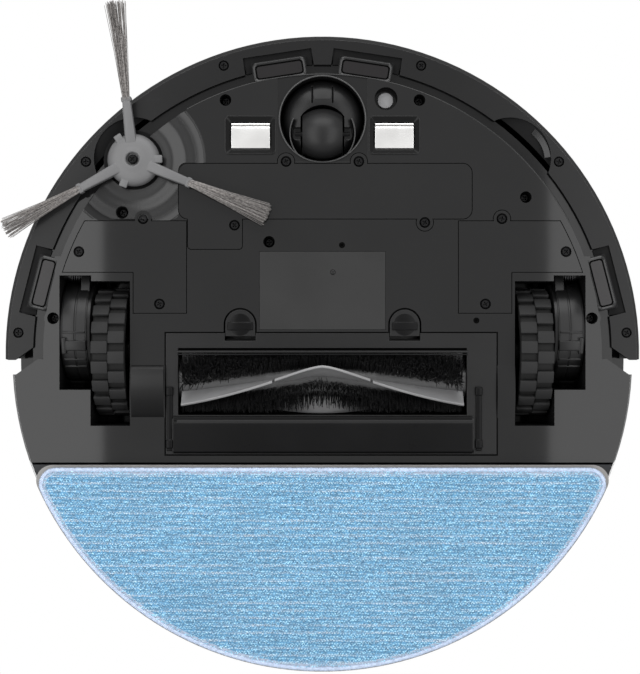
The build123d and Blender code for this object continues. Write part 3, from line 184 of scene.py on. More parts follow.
def moulded(name, colour, rough, grain=0.12, grain_size=0.4, edge=0.3, wear=0.3, scuff=0.1, metal=0.0,
            gloss=0.5):
    """A moulded or pressed surface: grain, patches of tone, fine scuffs and paler, softer edges."""
    material, tree, place, shader = new_material(name)
    grain_values = {"Vector": place, "Grain": 1 / (grain_size * MM), "Patch": PATCH_SCALE}
    texture = use_group(tree, moulded_grain, grain_values)
    edges = use_group(tree, rounded_edges, {"Radius": edge * MM})
    body = mix_colours(tree, texture["Tone"], tint(colour, 0.82), tint(colour, 1.18))
    rubbed = sums(tree, "MULTIPLY", edges["Edge"], wear)
    worn = mix_colours(tree, rubbed, body, tint([c + 0.03 for c in colour], 1.7))
    scratched = mix_colours(tree, sums(tree, "MULTIPLY", texture["Scuff"], scuff), worn, tint(colour, 2.2))
    connect(tree, shader.inputs["Base Color"], scratched)
    patchy = spread(tree, texture["Tone"], 0.3, 0.7, rough - 0.05, rough + 0.06)
    connect(tree, shader.inputs["Roughness"], patchy)
    shader.inputs["Metallic"].default_value = metal
    shader.inputs["Specular IOR Level"].default_value = gloss
    bump_inputs = {
        "Strength": grain,
        "Distance": GRAIN_DEPTH,
        "Height": texture["Height"],
        "Normal": edges["Normal"],
    }
    connect(tree, shader.inputs["Normal"], add_node(tree, "ShaderNodeBump", bump_inputs).outputs[0])
    return material


def finish(material, *nodes):
    """Gives CAD nodes their material."""
    for node in nodes:
        for slot in frame["nodes"][node].material_slots:
            slot.material = material


def parts_of(material):
    """A finished material's tree, its Object coordinates and its surface shader."""
    tree = material.node_tree
    shader = next(node for node in tree.nodes if node.type == "BSDF_PRINCIPLED")
    place = next(node for node in tree.nodes if node.type == "TEX_COORD").outputs["Object"]
    return tree, place, shader


def gloss_by_height(material, stops, rough):
    """A thin clear gloss whose strength follows the height, from (height in mm, strength) pairs."""
    tree, place, shader = parts_of(material)
    height = add_node(tree, "ShaderNodeSeparateXYZ", {0: place}).outputs["Z"]
    strength = stops[0][1]
    for (low, before), (high, after) in zip(stops, stops[1:]):
        step = spread(tree, height, low * MM, high * MM, 0.0, after - before)
        strength = sums(tree, "ADD", step, strength)
    connect(tree, shader.inputs["Coat Weight"], strength)
    shader.inputs["Coat Roughness"].default_value = rough


BLACK = (0.0085, 0.0085, 0.0087)
COVER_GLOSS = ((9.8, 0.55), (10.3, 0.08), (15.5, 0.08), (15.7, 0.4), (15.9, 0.4), (16.2, 0.08))
SHELL_GLOSS = ((40.0, 0.08), (46.0, 0.4))
BUMPER_GLOSS = ((13.2, 0.26), (13.6, 0.03), (40.0, 0.03), (45.5, 0.5))
satin_black = moulded("satin_black_abs", BLACK, 0.3, grain=0.06, gloss=0.0)
gloss_by_height(satin_black, COVER_GLOSS + SHELL_GLOSS, 0.06)
finish(satin_black, "chassis", "wheel_cover_left", "wheel_cover_right", "battery_cover", "top_cover")
bumper_black = moulded("bumper_black_abs", (0.012, 0.012, 0.0122), 0.5, wear=0.3, scuff=0.2, gloss=0.0)
gloss_by_height(bumper_black, BUMPER_GLOSS, 0.25)
finish(bumper_black, "bumper")
trim_black = moulded("trim_black_abs", BLACK, 0.17, grain=0.05, gloss=0.3)

# Label
# A bare vinyl label let into the battery bay, matt and a touch greyer than the plastic round it. One
# small moulded dot lies above it, and two blind pin holes lie beside it and by the right wheel; each
# hole is a flat near-black disc of painted shade in a small rim.


def piece(name, shape, material, body, replaced=(), sharp=38):
    """Keeps a shape drawn in millimetres as a named piece on a body, smooth up to the sharp angle."""
    bmesh.ops.scale(shape, verts=shape.verts, vec=(MM, MM, MM))
    mesh = bpy.data.meshes.new(name)
    shape.to_mesh(mesh)
    shape.free()
    mesh.materials.append(material)
    mesh.shade_smooth()
    mesh.set_sharp_from_angle(angle=math.radians(sharp))
    return settle(bpy.data.objects.new(name, mesh), body, replaced)


def settle(made, body, replaced=()):
    """Puts a piece in the scene, on its body and the nodes it stands for."""
    if made.name not in scene.collection.objects:
        scene.collection.objects.link(made)
    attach(made, body)
    if replaced:
        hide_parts(*replaced)
    return made


def lathe(profile, steps=64, closed=False):
    """A shape turned round Z from (radius, height) points; radius 0 closes an end."""
    shape = bmesh.new()
    rings = []
    for radius, height in profile:
        count = steps if radius > 1e-6 else 1
        angles = [2 * math.pi * step / steps for step in range(count)]
        rings.append([shape.verts.new((radius * math.cos(a), radius * math.sin(a), height)) for a in angles])
    pairs = list(zip(rings, rings[1:]))
    if closed:
        pairs.append((rings[-1], rings[0]))
    for low, high in pairs:
        for step in range(steps):
            after = (step + 1) % steps
            corners = [low[step % len(low)], low[after % len(low)]]
            corners += [high[after % len(high)], high[step % len(high)]]
            shape.faces.new(list(dict.fromkeys(corners)))
    bmesh.ops.recalc_face_normals(shape, faces=shape.faces)
    return shape


def soft_box(size, edge, segments=3):
    """A box about the origin with rounded edges."""
    shape = bmesh.new()
    bmesh.ops.create_cube(shape, size=1.0)
    bmesh.ops.scale(shape, verts=shape.verts, vec=size)
    bmesh.ops.bevel(shape, geom=shape.edges[:], offset=edge, segments=segments, profile=0.5, affect="EDGES")
    return shape


def join(*placed):
    """One shape out of several, each a (shape, matrix) pair."""
    whole = bmesh.new()
    for shape, matrix in placed:
        bmesh.ops.transform(shape, matrix=matrix, verts=shape.verts)
        loose = bpy.data.meshes.new("loose")
        shape.to_mesh(loose)
        shape.free()
        whole.from_mesh(loose)
        bpy.data.meshes.remove(loose)
    return whole


def at(x, y, z):
    """A plain shift, in millimetres."""
    return Matrix.Translation((x, y, z))


def turned(angle, axis="Z"):
    """A plain turn in degrees."""
    return Matrix.Rotation(math.radians(angle), 4, axis)


label_vinyl = moulded("label_vinyl", (0.011, 0.011, 0.011), 0.4, grain=0.05, grain_size=0.9, gloss=0.3)
finish(label_vinyl, "label_plate")
label_low = box_of("label_plate")[0]
DOT_R = 1.5
DOT_X = 5.5
DOT_BACK = 10.7
dot_profile = [(0, -0.7), (DOT_R * 0.6, -0.6), (DOT_R, 0), (DOT_R, 0.6), (0, 0.6)]
dot_place = at(DOT_X, label_low.y + DOT_BACK, label_low.z)
piece("label_dot", join((lathe(dot_profile, 20), dot_place)), trim_black, "body")
PIN_HOLES = ((10.3, -57.5), (81.2, -17.7))
PIN_HOLE_Z = 9.42
# Each blind pin hole is a flat disc and a small rim, both near-black: painted shade for the hole's depth.
hole_floor = [(0, 0.05), (1.1, 0.05), (1.1, 0.4), (0, 0.4)]
hole_rim = [(1.0, 0.3), (0.9, 0.0), (1.3, -0.12), (1.6, 0.0), (1.6, 0.3)]
# Near-black matt material that stands for the shade in holes and gaps: painted shade.
painted_shade_black = moulded("painted_shade_black", (0.0015, 0.0015, 0.0015), 0.6, gloss=0.0)
holes = []
for hole_x, hole_y in PIN_HOLES:
    hole_place = at(hole_x, hole_y, PIN_HOLE_Z)
    holes.append((lathe(hole_floor, 20), hole_place))
    holes.append((lathe(hole_rim, 20, closed=True), hole_place))
piece("pin_holes", join(*holes), painted_shade_black, "body")

# Screws
# Zinc-black steel pan heads with a cross recess, one kind all over the underside, smaller ones
# along the bumper's lip and one that holds the side brush. Each stops at its own turn.


def islands(node):
    """The boxes of the separate solids in one CAD node, in millimetres, in a fixed order."""
    shape = bmesh.new()
    shape.from_mesh(frame["nodes"][node].data)
    bmesh.ops.remove_doubles(shape, verts=shape.verts, dist=1e-6)
    seen = set()
    boxes = []
    for first in shape.verts:
        if first in seen:
            continue
        seen.add(first)
        waiting = [first]
        points = []
        while waiting:
            vertex = waiting.pop()
            points.append(vertex.co / MM)
            for edge in vertex.link_edges:
                other = edge.other_vert(vertex)
                if other not in seen:
                    seen.add(other)
                    waiting.append(other)
        low = Vector([min(p[i] for p in points) for i in range(3)])
        high = Vector([max(p[i] for p in points) for i in range(3)])
        boxes.append((low, high))
    shape.free()
    return sorted(boxes, key=lambda box: tuple(box[0]))


def cross_screw(radius, head, steps=24):
    """A pan head with a cross recess, facing down from z 0, closed flat at its back."""
    top = radius * 0.7
    shape = lathe([(top, -head), (radius * 0.92, -head * 0.72), (radius, -head * 0.3), (radius, 0)], steps)
    rim = [edge for edge in shape.edges if all(abs(v.co.z + head) < 1e-6 for v in edge.verts)]
    reach = radius * 0.58
    slot = radius * 0.15
    corners = []
    for quarter in range(4):
        for x, y in ((reach, -slot), (reach, slot), (slot, slot)):
            corners.append(turned(90 * quarter) @ Vector((x, y, 0)))
    mouth = [shape.verts.new((p.x, p.y, -head)) for p in corners]
    foot = [shape.verts.new((p.x * 0.6, p.y * 0.6, -head * 0.3)) for p in corners]
    mouth_edges = [shape.edges.new((mouth[i - 1], mouth[i])) for i in range(len(mouth))]
    bmesh.ops.triangle_fill(shape, edges=rim + mouth_edges, use_beauty=True, normal=(0, 0, -1))
    for i in range(len(mouth)):
        shape.faces.new((mouth[i - 1], mouth[i], foot[i], foot[i - 1]))
    shape.faces.new(foot)
    back = [vertex for vertex in shape.verts if abs(vertex.co.z) < 1e-6]
    shape.faces.new(sorted(back, key=lambda v: math.atan2(v.co.y, v.co.x)))
    bmesh.ops.recalc_face_normals(shape, faces=shape.faces)
    return shape


def loose_object(name, shape):
    """A template for a node tree, drawn in millimetres; it is removed once it has been used."""
    bmesh.ops.scale(shape, verts=shape.verts, vec=(MM, MM, MM))
    mesh = bpy.data.meshes.new(name)
    shape.to_mesh(mesh)
    shape.free()
    mesh.shade_smooth()
    mesh.set_sharp_from_angle(angle=math.radians(38))
    made = bpy.data.objects.new(name, mesh)
    scene.collection.objects.link(made)
    return made


def grow(name, tree, values, mesh=None):
    """Runs a geometry tree on a mesh with its named inputs and keeps the result as a plain mesh."""
    made = bpy.data.objects.new(name, mesh or bpy.data.meshes.new(name))
    scene.collection.objects.link(made)
    modifier = made.modifiers.new("tree", "NODES")
    modifier.node_group = tree
    sockets = [item for item in tree.interface.items_tree if item.in_out == "INPUT"]
    for socket in sockets:
        if socket.name in values:
            modifier[socket.identifier] = values[socket.name]
    result = bpy.data.meshes.new_from_object(made.evaluated_get(bpy.context.evaluated_depsgraph_get()))
    made.modifiers.clear()
    made.data = result
    return made


def points_mesh(name, points, **attributes):
    """Loose points, in millimetres, with named vectors or numbers on them."""
    mesh = bpy.data.meshes.new(name)
    mesh.from_pydata([Vector(point) * MM for point in points], [], [])
    for label, values in attributes.items():
        if isinstance(values[0], float):
            layer = mesh.attributes.new(label, "FLOAT", "POINT")
            layer.data.foreach_set("value", values)
        else:
            layer = mesh.attributes.new(label, "FLOAT_VECTOR", "POINT")
            layer.data.foreach_set("vector", [part for value in values for part in value])
    return mesh


def open_tree(name, inputs):
    """A geometry tree that takes and gives a mesh and has more named inputs."""
    return open_group(name, {"Geometry": "Geometry", **inputs}, {"Geometry": "Geometry"}, "GeometryNodeTree")


def random_between(tree, low, high, seed):
    """A random number for each point."""
    node = add_node(tree, "FunctionNodeRandomValue", data_type="FLOAT")
    connect(tree, node.inputs[2], low)
    connect(tree, node.inputs[3], high)
    connect(tree, node.inputs["Seed"], seed)
    return node.outputs[1]


def close_tree(tree, outlet, geometry, material):
    """Ends a geometry tree: real mesh, with its material."""
    real = add_node(tree, "GeometryNodeRealizeInstances", {"Geometry": geometry})
    last = add_node(tree, "GeometryNodeSetMaterial", {"Geometry": real.outputs[0], "Material": material})
    connect(tree, outlet.inputs["Geometry"], last.outputs[0])


def only_z(tree, value):
    """A vector with nothing but its Z part."""
    return add_node(tree, "ShaderNodeCombineXYZ", {"Z": value}).outputs[0]


screw_inputs = {"Screw": "Object", "Seed": "Int", "Metal": "Material"}
screw_tree, inlet, outlet = open_tree("screws_in_seats", screw_inputs)
template = add_node(screw_tree, "GeometryNodeObjectInfo", {"Object": inlet["Screw"]})
seat_inputs = {
    "Points": inlet["Geometry"],
    "Instance": template.outputs["Geometry"],
    "Rotation": only_z(screw_tree, random_between(screw_tree, 0.0, 3.1, inlet["Seed"])),
}
seated = add_node(screw_tree, "GeometryNodeInstanceOnPoints", seat_inputs)
close_tree(screw_tree, outlet, seated.outputs[0], inlet["Metal"])

SCREW_HEAD = 1.7
SCREW_SETS = (
    ("underside_screws", "body", 3),
    ("bumper_screws", "bumper", 5),
    ("side_brush_screw", "side_brush", 7),
)
SCREW_BLACK = (0.004, 0.004, 0.0043)
screw_steel = moulded("black_zinc_steel", SCREW_BLACK, 0.4, grain=0.08, wear=0.4, scuff=0.3, gloss=0.1)
for node, body, seed in SCREW_SETS:
    heads = islands(node)
    radius = min((high.x - low.x) / 2 for low, high in heads)
    seats = [((low.x + high.x) / 2, (low.y + high.y) / 2, low.z + SCREW_HEAD) for low, high in heads]
    screw = loose_object("screw_template", cross_screw(radius, SCREW_HEAD))
    values = {"Screw": screw, "Seed": seed, "Metal": screw_steel}
    screws = grow(node + "_heads", screw_tree, values, points_mesh(node, seats))
    bpy.data.objects.remove(screw)
    settle(screws, body, (node,))

# Charging contacts
# Two nickel-plated spring plates in the nose, each bent to a rolled bead at its front edge so that
# it slides up the dock's pins.


def skin(rows, ends=True, around=False):
    """A shape over rows of points, each row a ring; its ends are closed, or it runs round on itself."""
    shape = bmesh.new()
    rings = [[shape.verts.new(point) for point in row] for row in rows]
    pairs = list(zip(rings, rings[1:]))
    if around:
        pairs.append((rings[-1], rings[0]))
    for near, far in pairs:
        for i in range(len(near)):
            shape.faces.new((near[i - 1], near[i], far[i], far[i - 1]))
    if ends:
        shape.faces.new(rings[0])
        shape.faces.new(rings[-1])
    bmesh.ops.recalc_face_normals(shape, faces=shape.faces)
    return shape


def extrude(profile, x_low, x_high):
    """A shape with the same (y, z) outline all along X, its two ends closed."""
    return skin([[(x, y, z) for y, z in profile] for x in (x_low, x_high)])


def arc(centre, radius, start, end, steps):
    """Points on an arc, angles in degrees."""
    angles = [math.radians(start + (end - start) * step / steps) for step in range(steps + 1)]
    return [(centre[0] + radius * math.cos(a), centre[1] + radius * math.sin(a)) for a in angles]


NICKEL_WHITE = (0.7, 0.695, 0.685)
nickel = moulded("nickel_plate", NICKEL_WHITE, 0.2, grain=0.03, grain_size=1.5, edge=0.4, wear=0.2, metal=1.0)
BEAD = 0.75
plates = []
for low, high in islands("charging_contacts"):
    rolled = arc((low.y + BEAD, low.z + BEAD), BEAD, 90, 315, 10)
    fold = [(low.y + 2.1 * BEAD, low.z + 1.5 * BEAD), (low.y + 2.7 * BEAD, low.z + 0.35)]
    crown = [(low.y + 3.6 * BEAD, low.z + 0.08), ((low.y + high.y) / 2, low.z), (high.y - 1.2, low.z + 0.1)]
    tail = [(high.y, low.z + 0.7), (high.y, high.z), (low.y + BEAD, high.z)]
    plates.append((extrude(rolled + fold + crown + tail, low.x, high.x), Matrix()))
piece("contact_plates", join(*plates), nickel, "body", ("charging_contacts",))


def rounded_rect(length, width, corner, steps=6):
    """The outline of a rectangle about the origin with round corners."""
    x = length / 2 - corner
    y = width / 2 - corner
    outline = []
    for number, centre in enumerate(((x, y), (-x, y), (-x, -y), (x, -y))):
        outline += arc(centre, corner, 90 * number, 90 * number + 90, steps)
    return outline


def loft_ring(outlines):
    """A closed ring through (outline, height) pairs that all have as many points."""
    return skin([[(x, y, z) for x, y in outline] for outline, z in outlines], ends=False, around=True)


BEZEL = 3.4
BEZEL_FIT = 0.5
BEZEL_ROUND = 1.2
BEZEL_DARK = (0.004, 0.004, 0.0041)
bezel_black = moulded("bezel_gloss_black", BEZEL_DARK, 0.2, grain=0.04, edge=0.5, wear=0.5, gloss=0.14)
bezels = []
for low, high in islands("charging_contacts"):
    length = high.x - low.x + BEZEL_FIT
    width = high.y - low.y + BEZEL_FIT
    outer = rounded_rect(length + 2 * BEZEL, width + 2 * BEZEL, 2.6)
    rim = rounded_rect(length + 2 * BEZEL - BEZEL_ROUND, width + 2 * BEZEL - BEZEL_ROUND, 2.2)
    inner = rounded_rect(length, width, 1.2)
    levels = [(outer, high.z - 1.9), (outer, high.z - 2.3), (rim, high.z - 2.45)]
    levels += [(inner, high.z - 0.15), (inner, high.z)]
    bezels.append((loft_ring(levels), at((low.x + high.x) / 2, (low.y + high.y) / 2, 0)))
piece("contact_bezels", join(*bezels), bezel_black, "body")

# Windows and bumper notches
# Infrared-clear polycarbonate, nearly black, polished: four cliff sensors, each in a snapped-in frame,
# and the long window across the bumper. The notches in its lip and the plate's edge are moulded ABS.
WINDOW_DARK = (0.009, 0.008, 0.0085)
dark_window = moulded("infrared_window", WINDOW_DARK, 0.18, grain=0.02, grain_size=3.0, wear=0.1, gloss=0.25)
finish(dark_window, "cliff_windows", "bumper_window")
WINDOW_L = 26.0
WINDOW_W = 8.3
WINDOW_NOTCH_R = (153.7, 163.0)
WINDOW_NOTCH_Z = (14.6, 14.4)
WINDOW_NOTCH_HALF = 6.6
BRUSH_NOTCH_R = (157.3, 165.5)
BRUSH_NOTCH_Z = (17.0, 13.8)
BRUSH_NOTCH_HALF = 8.0
rims = []
gaps = []
floors = []


def ring_sector(radii, heights, around, half, steps=16):
    """A sloped piece of a ring about the origin, 1 mm thick; angles run from the front, in degrees."""
    near = arc((0, 0), radii[0], around - half - 90, around + half - 90, steps)
    far = arc((0, 0), radii[1], around + half - 90, around - half - 90, steps)
    levels = []
    for thick in (0.0, 1.0):
        ring = [(x, y, heights[0] + thick) for x, y in near]
        levels.append(ring + [(x, y, heights[1] + thick) for x, y in far])
    return skin(levels)


for low, high in islands("cliff_windows"):
    centre = (low + high) / 2
    around = math.degrees(math.atan2(centre.x, -centre.y))
    outer = rounded_rect(WINDOW_L + 2.2, WINDOW_W + 2.2, 2.6)
    crest = rounded_rect(WINDOW_L + 1.0, WINDOW_W + 1.0, 2.2)
    inner = rounded_rect(WINDOW_L - 0.6, WINDOW_W - 0.6, 1.8)
    levels = [(outer, low.z + 0.4), (outer, low.z - 0.2), (crest, low.z - 0.55)]
    levels += [(inner, low.z - 0.2), (inner, low.z + 0.4)]
    window_place = at(centre.x, centre.y, 0) @ turned(around)
    rims.append((loft_ring(levels), window_place))
    # Painted shade: a near-black ring just inside each window's rim stands for the shaded gap round the
    # window.
    gap_inner = rounded_rect(WINDOW_L - 2.2, WINDOW_W - 2.2, 1.3)
    gap_levels = [(inner, low.z + 0.3), (inner, low.z - 0.12)]
    gap_levels += [(gap_inner, low.z - 0.12), (gap_inner, low.z + 0.3)]
    gaps.append((loft_ring(gap_levels), window_place))
    floors.append((ring_sector(WINDOW_NOTCH_R, WINDOW_NOTCH_Z, around, WINDOW_NOTCH_HALF), Matrix()))
piece("window_rims", join(*rims), trim_black, "body")
piece("window_gaps", join(*gaps), painted_shade_black, "body")
brush_at = joint_at("side_brush_spin")
brush_around = math.degrees(math.atan2(-brush_at.x, -brush_at.y))
for around in (-brush_around, brush_around):
    floors.append((ring_sector(BRUSH_NOTCH_R, BRUSH_NOTCH_Z, around, BRUSH_NOTCH_HALF), Matrix()))
WALL_R = 21.6
WALL_DEPTH = 3.0
wall_section = ((WALL_R, 13.2), (WALL_R - WALL_DEPTH, 14.4), (WALL_R - WALL_DEPTH, 15.4), (WALL_R, 14.2))
wall_arcs = []
for radius, z in wall_section:
    wall_arcs.append([(x, y, z) for x, y in arc((-brush_at.x, brush_at.y), radius, -52, -6, 16)])
piece("notch_wall", skin(list(zip(*wall_arcs))), trim_black, "bumper")
piece("notch_floors", join(*floors), bumper_black, "bumper")


def bead(radius, height, thick, start, end, steps=72):
    """A round bead along an arc about the origin; angles run from the front, in degrees."""
    ring = arc((radius, height), thick, 0, 315, 7)
    rows = []
    for step in range(steps + 1):
        around = math.radians(start + (end - start) * step / steps)
        rows.append([(r * math.sin(around), -r * math.cos(around), z) for r, z in ring])
    return skin(rows)


PLATE_EDGE = 147.0
PLATE_BEAD_Z = 9.75
PLATE_BEAD_R = 0.45
plate_bead = bead(PLATE_EDGE + 0.6, PLATE_BEAD_Z, PLATE_BEAD_R, -29, 62)
piece("plate_edge", plate_bead, trim_black, "body")

# Drive wheels
# Black rubber tyres with two staggered rows of moulded blocks, on nylon rims. Each wheel hangs on a
# sprung gear case with its motor, behind a screwed case cover.
tread_inputs = {
    "Lug": "Object",
    "Lugs": "Int",
    "Radius": "Float",
    "Row Shift": "Float",
    "Rubber": "Material",
}
tread_tree, inlet, outlet = open_tree("tread_blocks", tread_inputs)
ring = add_node(tread_tree, "GeometryNodeMeshCircle", {"Vertices": inlet["Lugs"], "Radius": inlet["Radius"]})
lug_step = sums(tread_tree, "DIVIDE", 2 * math.pi, inlet["Lugs"])
lug_index = tread_tree.nodes.new("GeometryNodeInputIndex").outputs[0]
lug_angle = sums(tread_tree, "MULTIPLY", lug_index, lug_step)
lug_shape = add_node(tread_tree, "GeometryNodeObjectInfo", {"Object": inlet["Lug"]})
row_inputs = {
    "Points": ring.outputs[0],
    "Instance": lug_shape.outputs["Geometry"],
    "Rotation": only_z(tread_tree, lug_angle),
}
row = add_node(tread_tree, "GeometryNodeInstanceOnPoints", row_inputs)
both = add_node(tread_tree, "GeometryNodeJoinGeometry", {"Geometry": inlet["Geometry"]})
for side in (-1, 1):
    row_place = {
        "Geometry": row.outputs[0],
        "Translation": only_z(tread_tree, sums(tread_tree, "MULTIPLY", inlet["Row Shift"], side)),
        "Rotation": only_z(tread_tree, sums(tread_tree, "MULTIPLY", lug_step, side / 4)),
    }
    moved = add_node(tread_tree, "GeometryNodeTransform", row_place)
    tread_tree.links.new(moved.outputs[0], both.inputs[0])
close_tree(tread_tree, outlet, both.outputs[0], inlet["Rubber"])


def vectors(tree, operation, first, second=(0, 0, 0)):
    """One step of vector arithmetic in a node tree."""
    return add_node(tree, "ShaderNodeVectorMath", {0: first, 1: second}, operation=operation).outputs


RUBBER = (0.013, 0.013, 0.0132)
# Painted shade: a near-black colour for the grooves between the tread blocks, and the radii over which it
# fades out.
GROOVE_SHADE = (0.0015, 0.0015, 0.0015, 1)
GROOVE_SHADE_R = (32.6, 34.0)
rubber = moulded("tyre_rubber", RUBBER, 0.62, grain=0.3, grain_size=0.6, edge=0.25, wear=0.5, scuff=0.2,
                 gloss=0.2)
rubber_tree, rubber_place, rubber_shader = parts_of(rubber)
axle_line = joint_at("wheel_spin_left") * MM
from_axle = vectors(rubber_tree, "SUBTRACT", rubber_place, (0, axle_line.y, axle_line.z))[0]
across = vectors(rubber_tree, "MULTIPLY", from_axle, (0, 1, 1))[0]
tyre_reach = vectors(rubber_tree, "LENGTH", across)["Value"]
# Painted shade: the tyre's colour darkens to near black towards the carcass, between the blocks, where the
# grooves lie in shade.
groove_shade = spread(rubber_tree, tyre_reach, GROOVE_SHADE_R[0] * MM, GROOVE_SHADE_R[1] * MM, 1.0, 0.0)
rubber_skin = rubber_shader.inputs["Base Color"].links[0].from_socket
groove_shaded = mix_colours(rubber_tree, groove_shade, rubber_skin, GROOVE_SHADE)
connect(rubber_tree, rubber_shader.inputs["Base Color"], groove_shaded)
case_black = moulded("case_nylon", (0.007, 0.007, 0.0072), 0.3, grain=0.12, edge=0.4, gloss=0.22)
DRUM_Y = -12.5
DRUM_Z = 35.5
DRUM_R = 27.4
DRUM_IN = 122.3
DRUM_OUT = 138.9
DRUM_MID = (DRUM_IN + DRUM_OUT) / 2 + 0.5
RAIL_SIZE = (DRUM_OUT - DRUM_IN - 3.5, 5.6, 2.4)
CLIP_SIZE = (2.6, 9.0, 3.0)
CASE_RIB_SIZE = (DRUM_OUT - DRUM_IN - 5.0, 1.0, 1.8)
RIB_LEAN = 17
RIB_ANGLES = (-15, 17, 27)


def rib_place(lean):
    """Where a rib lies along the gear case's drum, by its angle from the wheel's side."""
    return at(0, DRUM_Y, DRUM_Z) @ turned(lean + RIB_LEAN, "X") @ at(0, 0, -DRUM_R + 0.2)


drum_profile = [(0, DRUM_IN), (DRUM_R - 3.0, DRUM_IN), (DRUM_R - 1.6, DRUM_IN + 0.6)]
drum_profile += [(DRUM_R - 1.4, DRUM_IN + 2.4), (DRUM_R, DRUM_IN + 2.8), (DRUM_R, DRUM_IN + 7.6)]
drum_profile += [(DRUM_R - 0.5, DRUM_IN + 7.9), (DRUM_R - 0.5, DRUM_IN + 8.5), (DRUM_R, DRUM_IN + 8.8)]
drum_profile += [(DRUM_R, DRUM_OUT - 2.2), (DRUM_R - 0.7, DRUM_OUT - 0.8), (DRUM_R - 2.2, DRUM_OUT)]
drum_profile.append((0, DRUM_OUT))
LUG_COUNT = 20
LUG_SHARE = 0.6
LUG_SUNK = 0.6
LUG_RISE = 2.2
TYRE_WALL = 5.0
for side in ("left", "right"):
    low, high = box_of("tyre_" + side)
    axle = joint_at("wheel_spin_" + side)
    half_width = (high.x - low.x) / 2
    outer = (high.y - low.y) / 2
    base = outer - LUG_RISE
    hole = outer - TYRE_WALL
    wall = [(hole, half_width), (base - 1.6, half_width), (base - 0.5, half_width - 0.4)]
    wall.append((base, half_width - 1.4))
    carcass = lathe(wall + [(r, -x) for r, x in reversed(wall)], 96, closed=True)
    carcass_mesh = bpy.data.meshes.new("carcass")
    bmesh.ops.scale(carcass, verts=carcass.verts, vec=(MM, MM, MM))
    carcass.to_mesh(carcass_mesh)
    carcass.free()
    carcass_mesh.shade_smooth()
    lug_length = 2 * math.pi * outer / LUG_COUNT * LUG_SHARE
    lug_block = soft_box((LUG_RISE + LUG_SUNK, lug_length, half_width * 0.98), 0.45, 2)
    lug = loose_object("lug_template", lug_block)
    values = {
        "Lug": lug,
        "Lugs": LUG_COUNT,
        "Radius": (outer - LUG_RISE / 2 - LUG_SUNK / 2) * MM,
        "Row Shift": half_width * 0.5 * MM,
        "Rubber": rubber,
    }
    tyre = grow("tread_" + side, tread_tree, values, carcass_mesh)
    bpy.data.objects.remove(lug)
    stand = at((low.x + high.x) / 2 * MM, axle.y * MM, axle.z * MM) @ turned(90, "Y")
    tyre.data.transform(stand)
    settle(tyre, "wheel_" + side, ("tyre_" + side,))

    drum = [(lathe(drum_profile, 120), at(0, DRUM_Y, DRUM_Z) @ turned(90, "Y"))]
    drum.append((soft_box(RAIL_SIZE, 0.6), at(DRUM_MID, 0, 0) @ rib_place(0)))
    drum.append((soft_box(CLIP_SIZE, 0.6), at(DRUM_OUT - CLIP_SIZE[0], 0, 0) @ rib_place(0)))
    for lean in RIB_ANGLES:
        drum.append((soft_box(CASE_RIB_SIZE, 0.3, 2), at(DRUM_MID, 0, 0) @ rib_place(lean)))
    drum_shape = join(*drum)
    if side == "left":
        bmesh.ops.scale(drum_shape, vec=(-1, 1, 1), verts=drum_shape.verts)
        bmesh.ops.reverse_faces(drum_shape, faces=drum_shape.faces)
    piece("case_drum_" + side, drum_shape, case_black, "arm_" + side)

white_nylon = moulded("white_nylon", (0.62, 0.61, 0.57), 0.42, grain=0.1, wear=0.1)
finish(case_black, "gear_case_left", "gear_case_right", "gear_case_cover_left", "gear_case_cover_right")
finish(case_black, "rim_left", "rim_right")
finish(white_nylon, "axle_gear_left", "axle_gear_right")
finish(white_nylon, "motor_pinion_left", "motor_pinion_right")

# Caster
# A black acetal barrel wheel on a steel pin, in a yoke that turns freely in its cup. The barrel is
# polished by the floor and the yoke is moulded with a satin skin.
CASTER_BLACK = (0.007, 0.007, 0.0072)
barrel_black = moulded("caster_barrel", CASTER_BLACK, 0.36, grain=0.1, wear=0.5, scuff=0.5, gloss=0.22)
finish(barrel_black, "caster_wheel")
YOKE_BLACK = (0.006, 0.006, 0.0062)
yoke_black = moulded("caster_yoke_abs", YOKE_BLACK, 0.28, grain=0.06, edge=0.4, wear=0.5, gloss=0.17)
swivel = joint_at("caster_swivel")
axle = joint_at("caster_roll")
YOKE_R = 21.3
ARCH_R = 14.0
TUNNEL = 11.5


def cut_away(shape, *cutters):
    """A shape with other shapes cut out of it, all in millimetres."""
    body = loose_object("cut_body", shape)
    tools = [loose_object("cut_tool", cutter) for cutter in cutters]
    for tool in tools:
        cut = body.modifiers.new("cut", "BOOLEAN")
        cut.operation = "DIFFERENCE"
        cut.solver = "EXACT"
        cut.object = tool
    result = bpy.data.meshes.new_from_object(body.evaluated_get(bpy.context.evaluated_depsgraph_get()))
    whole = bmesh.new()
    whole.from_mesh(result)
    bmesh.ops.scale(whole, verts=whole.verts, vec=(1 / MM, 1 / MM, 1 / MM))
    for used in [body] + tools:
        bpy.data.objects.remove(used)
    bpy.data.meshes.remove(result)
    return whole


def prism(outline, low, high):
    """An upright solid on a flat outline."""
    return skin([[(x, y, z) for x, y in outline] for z in (low, high)])


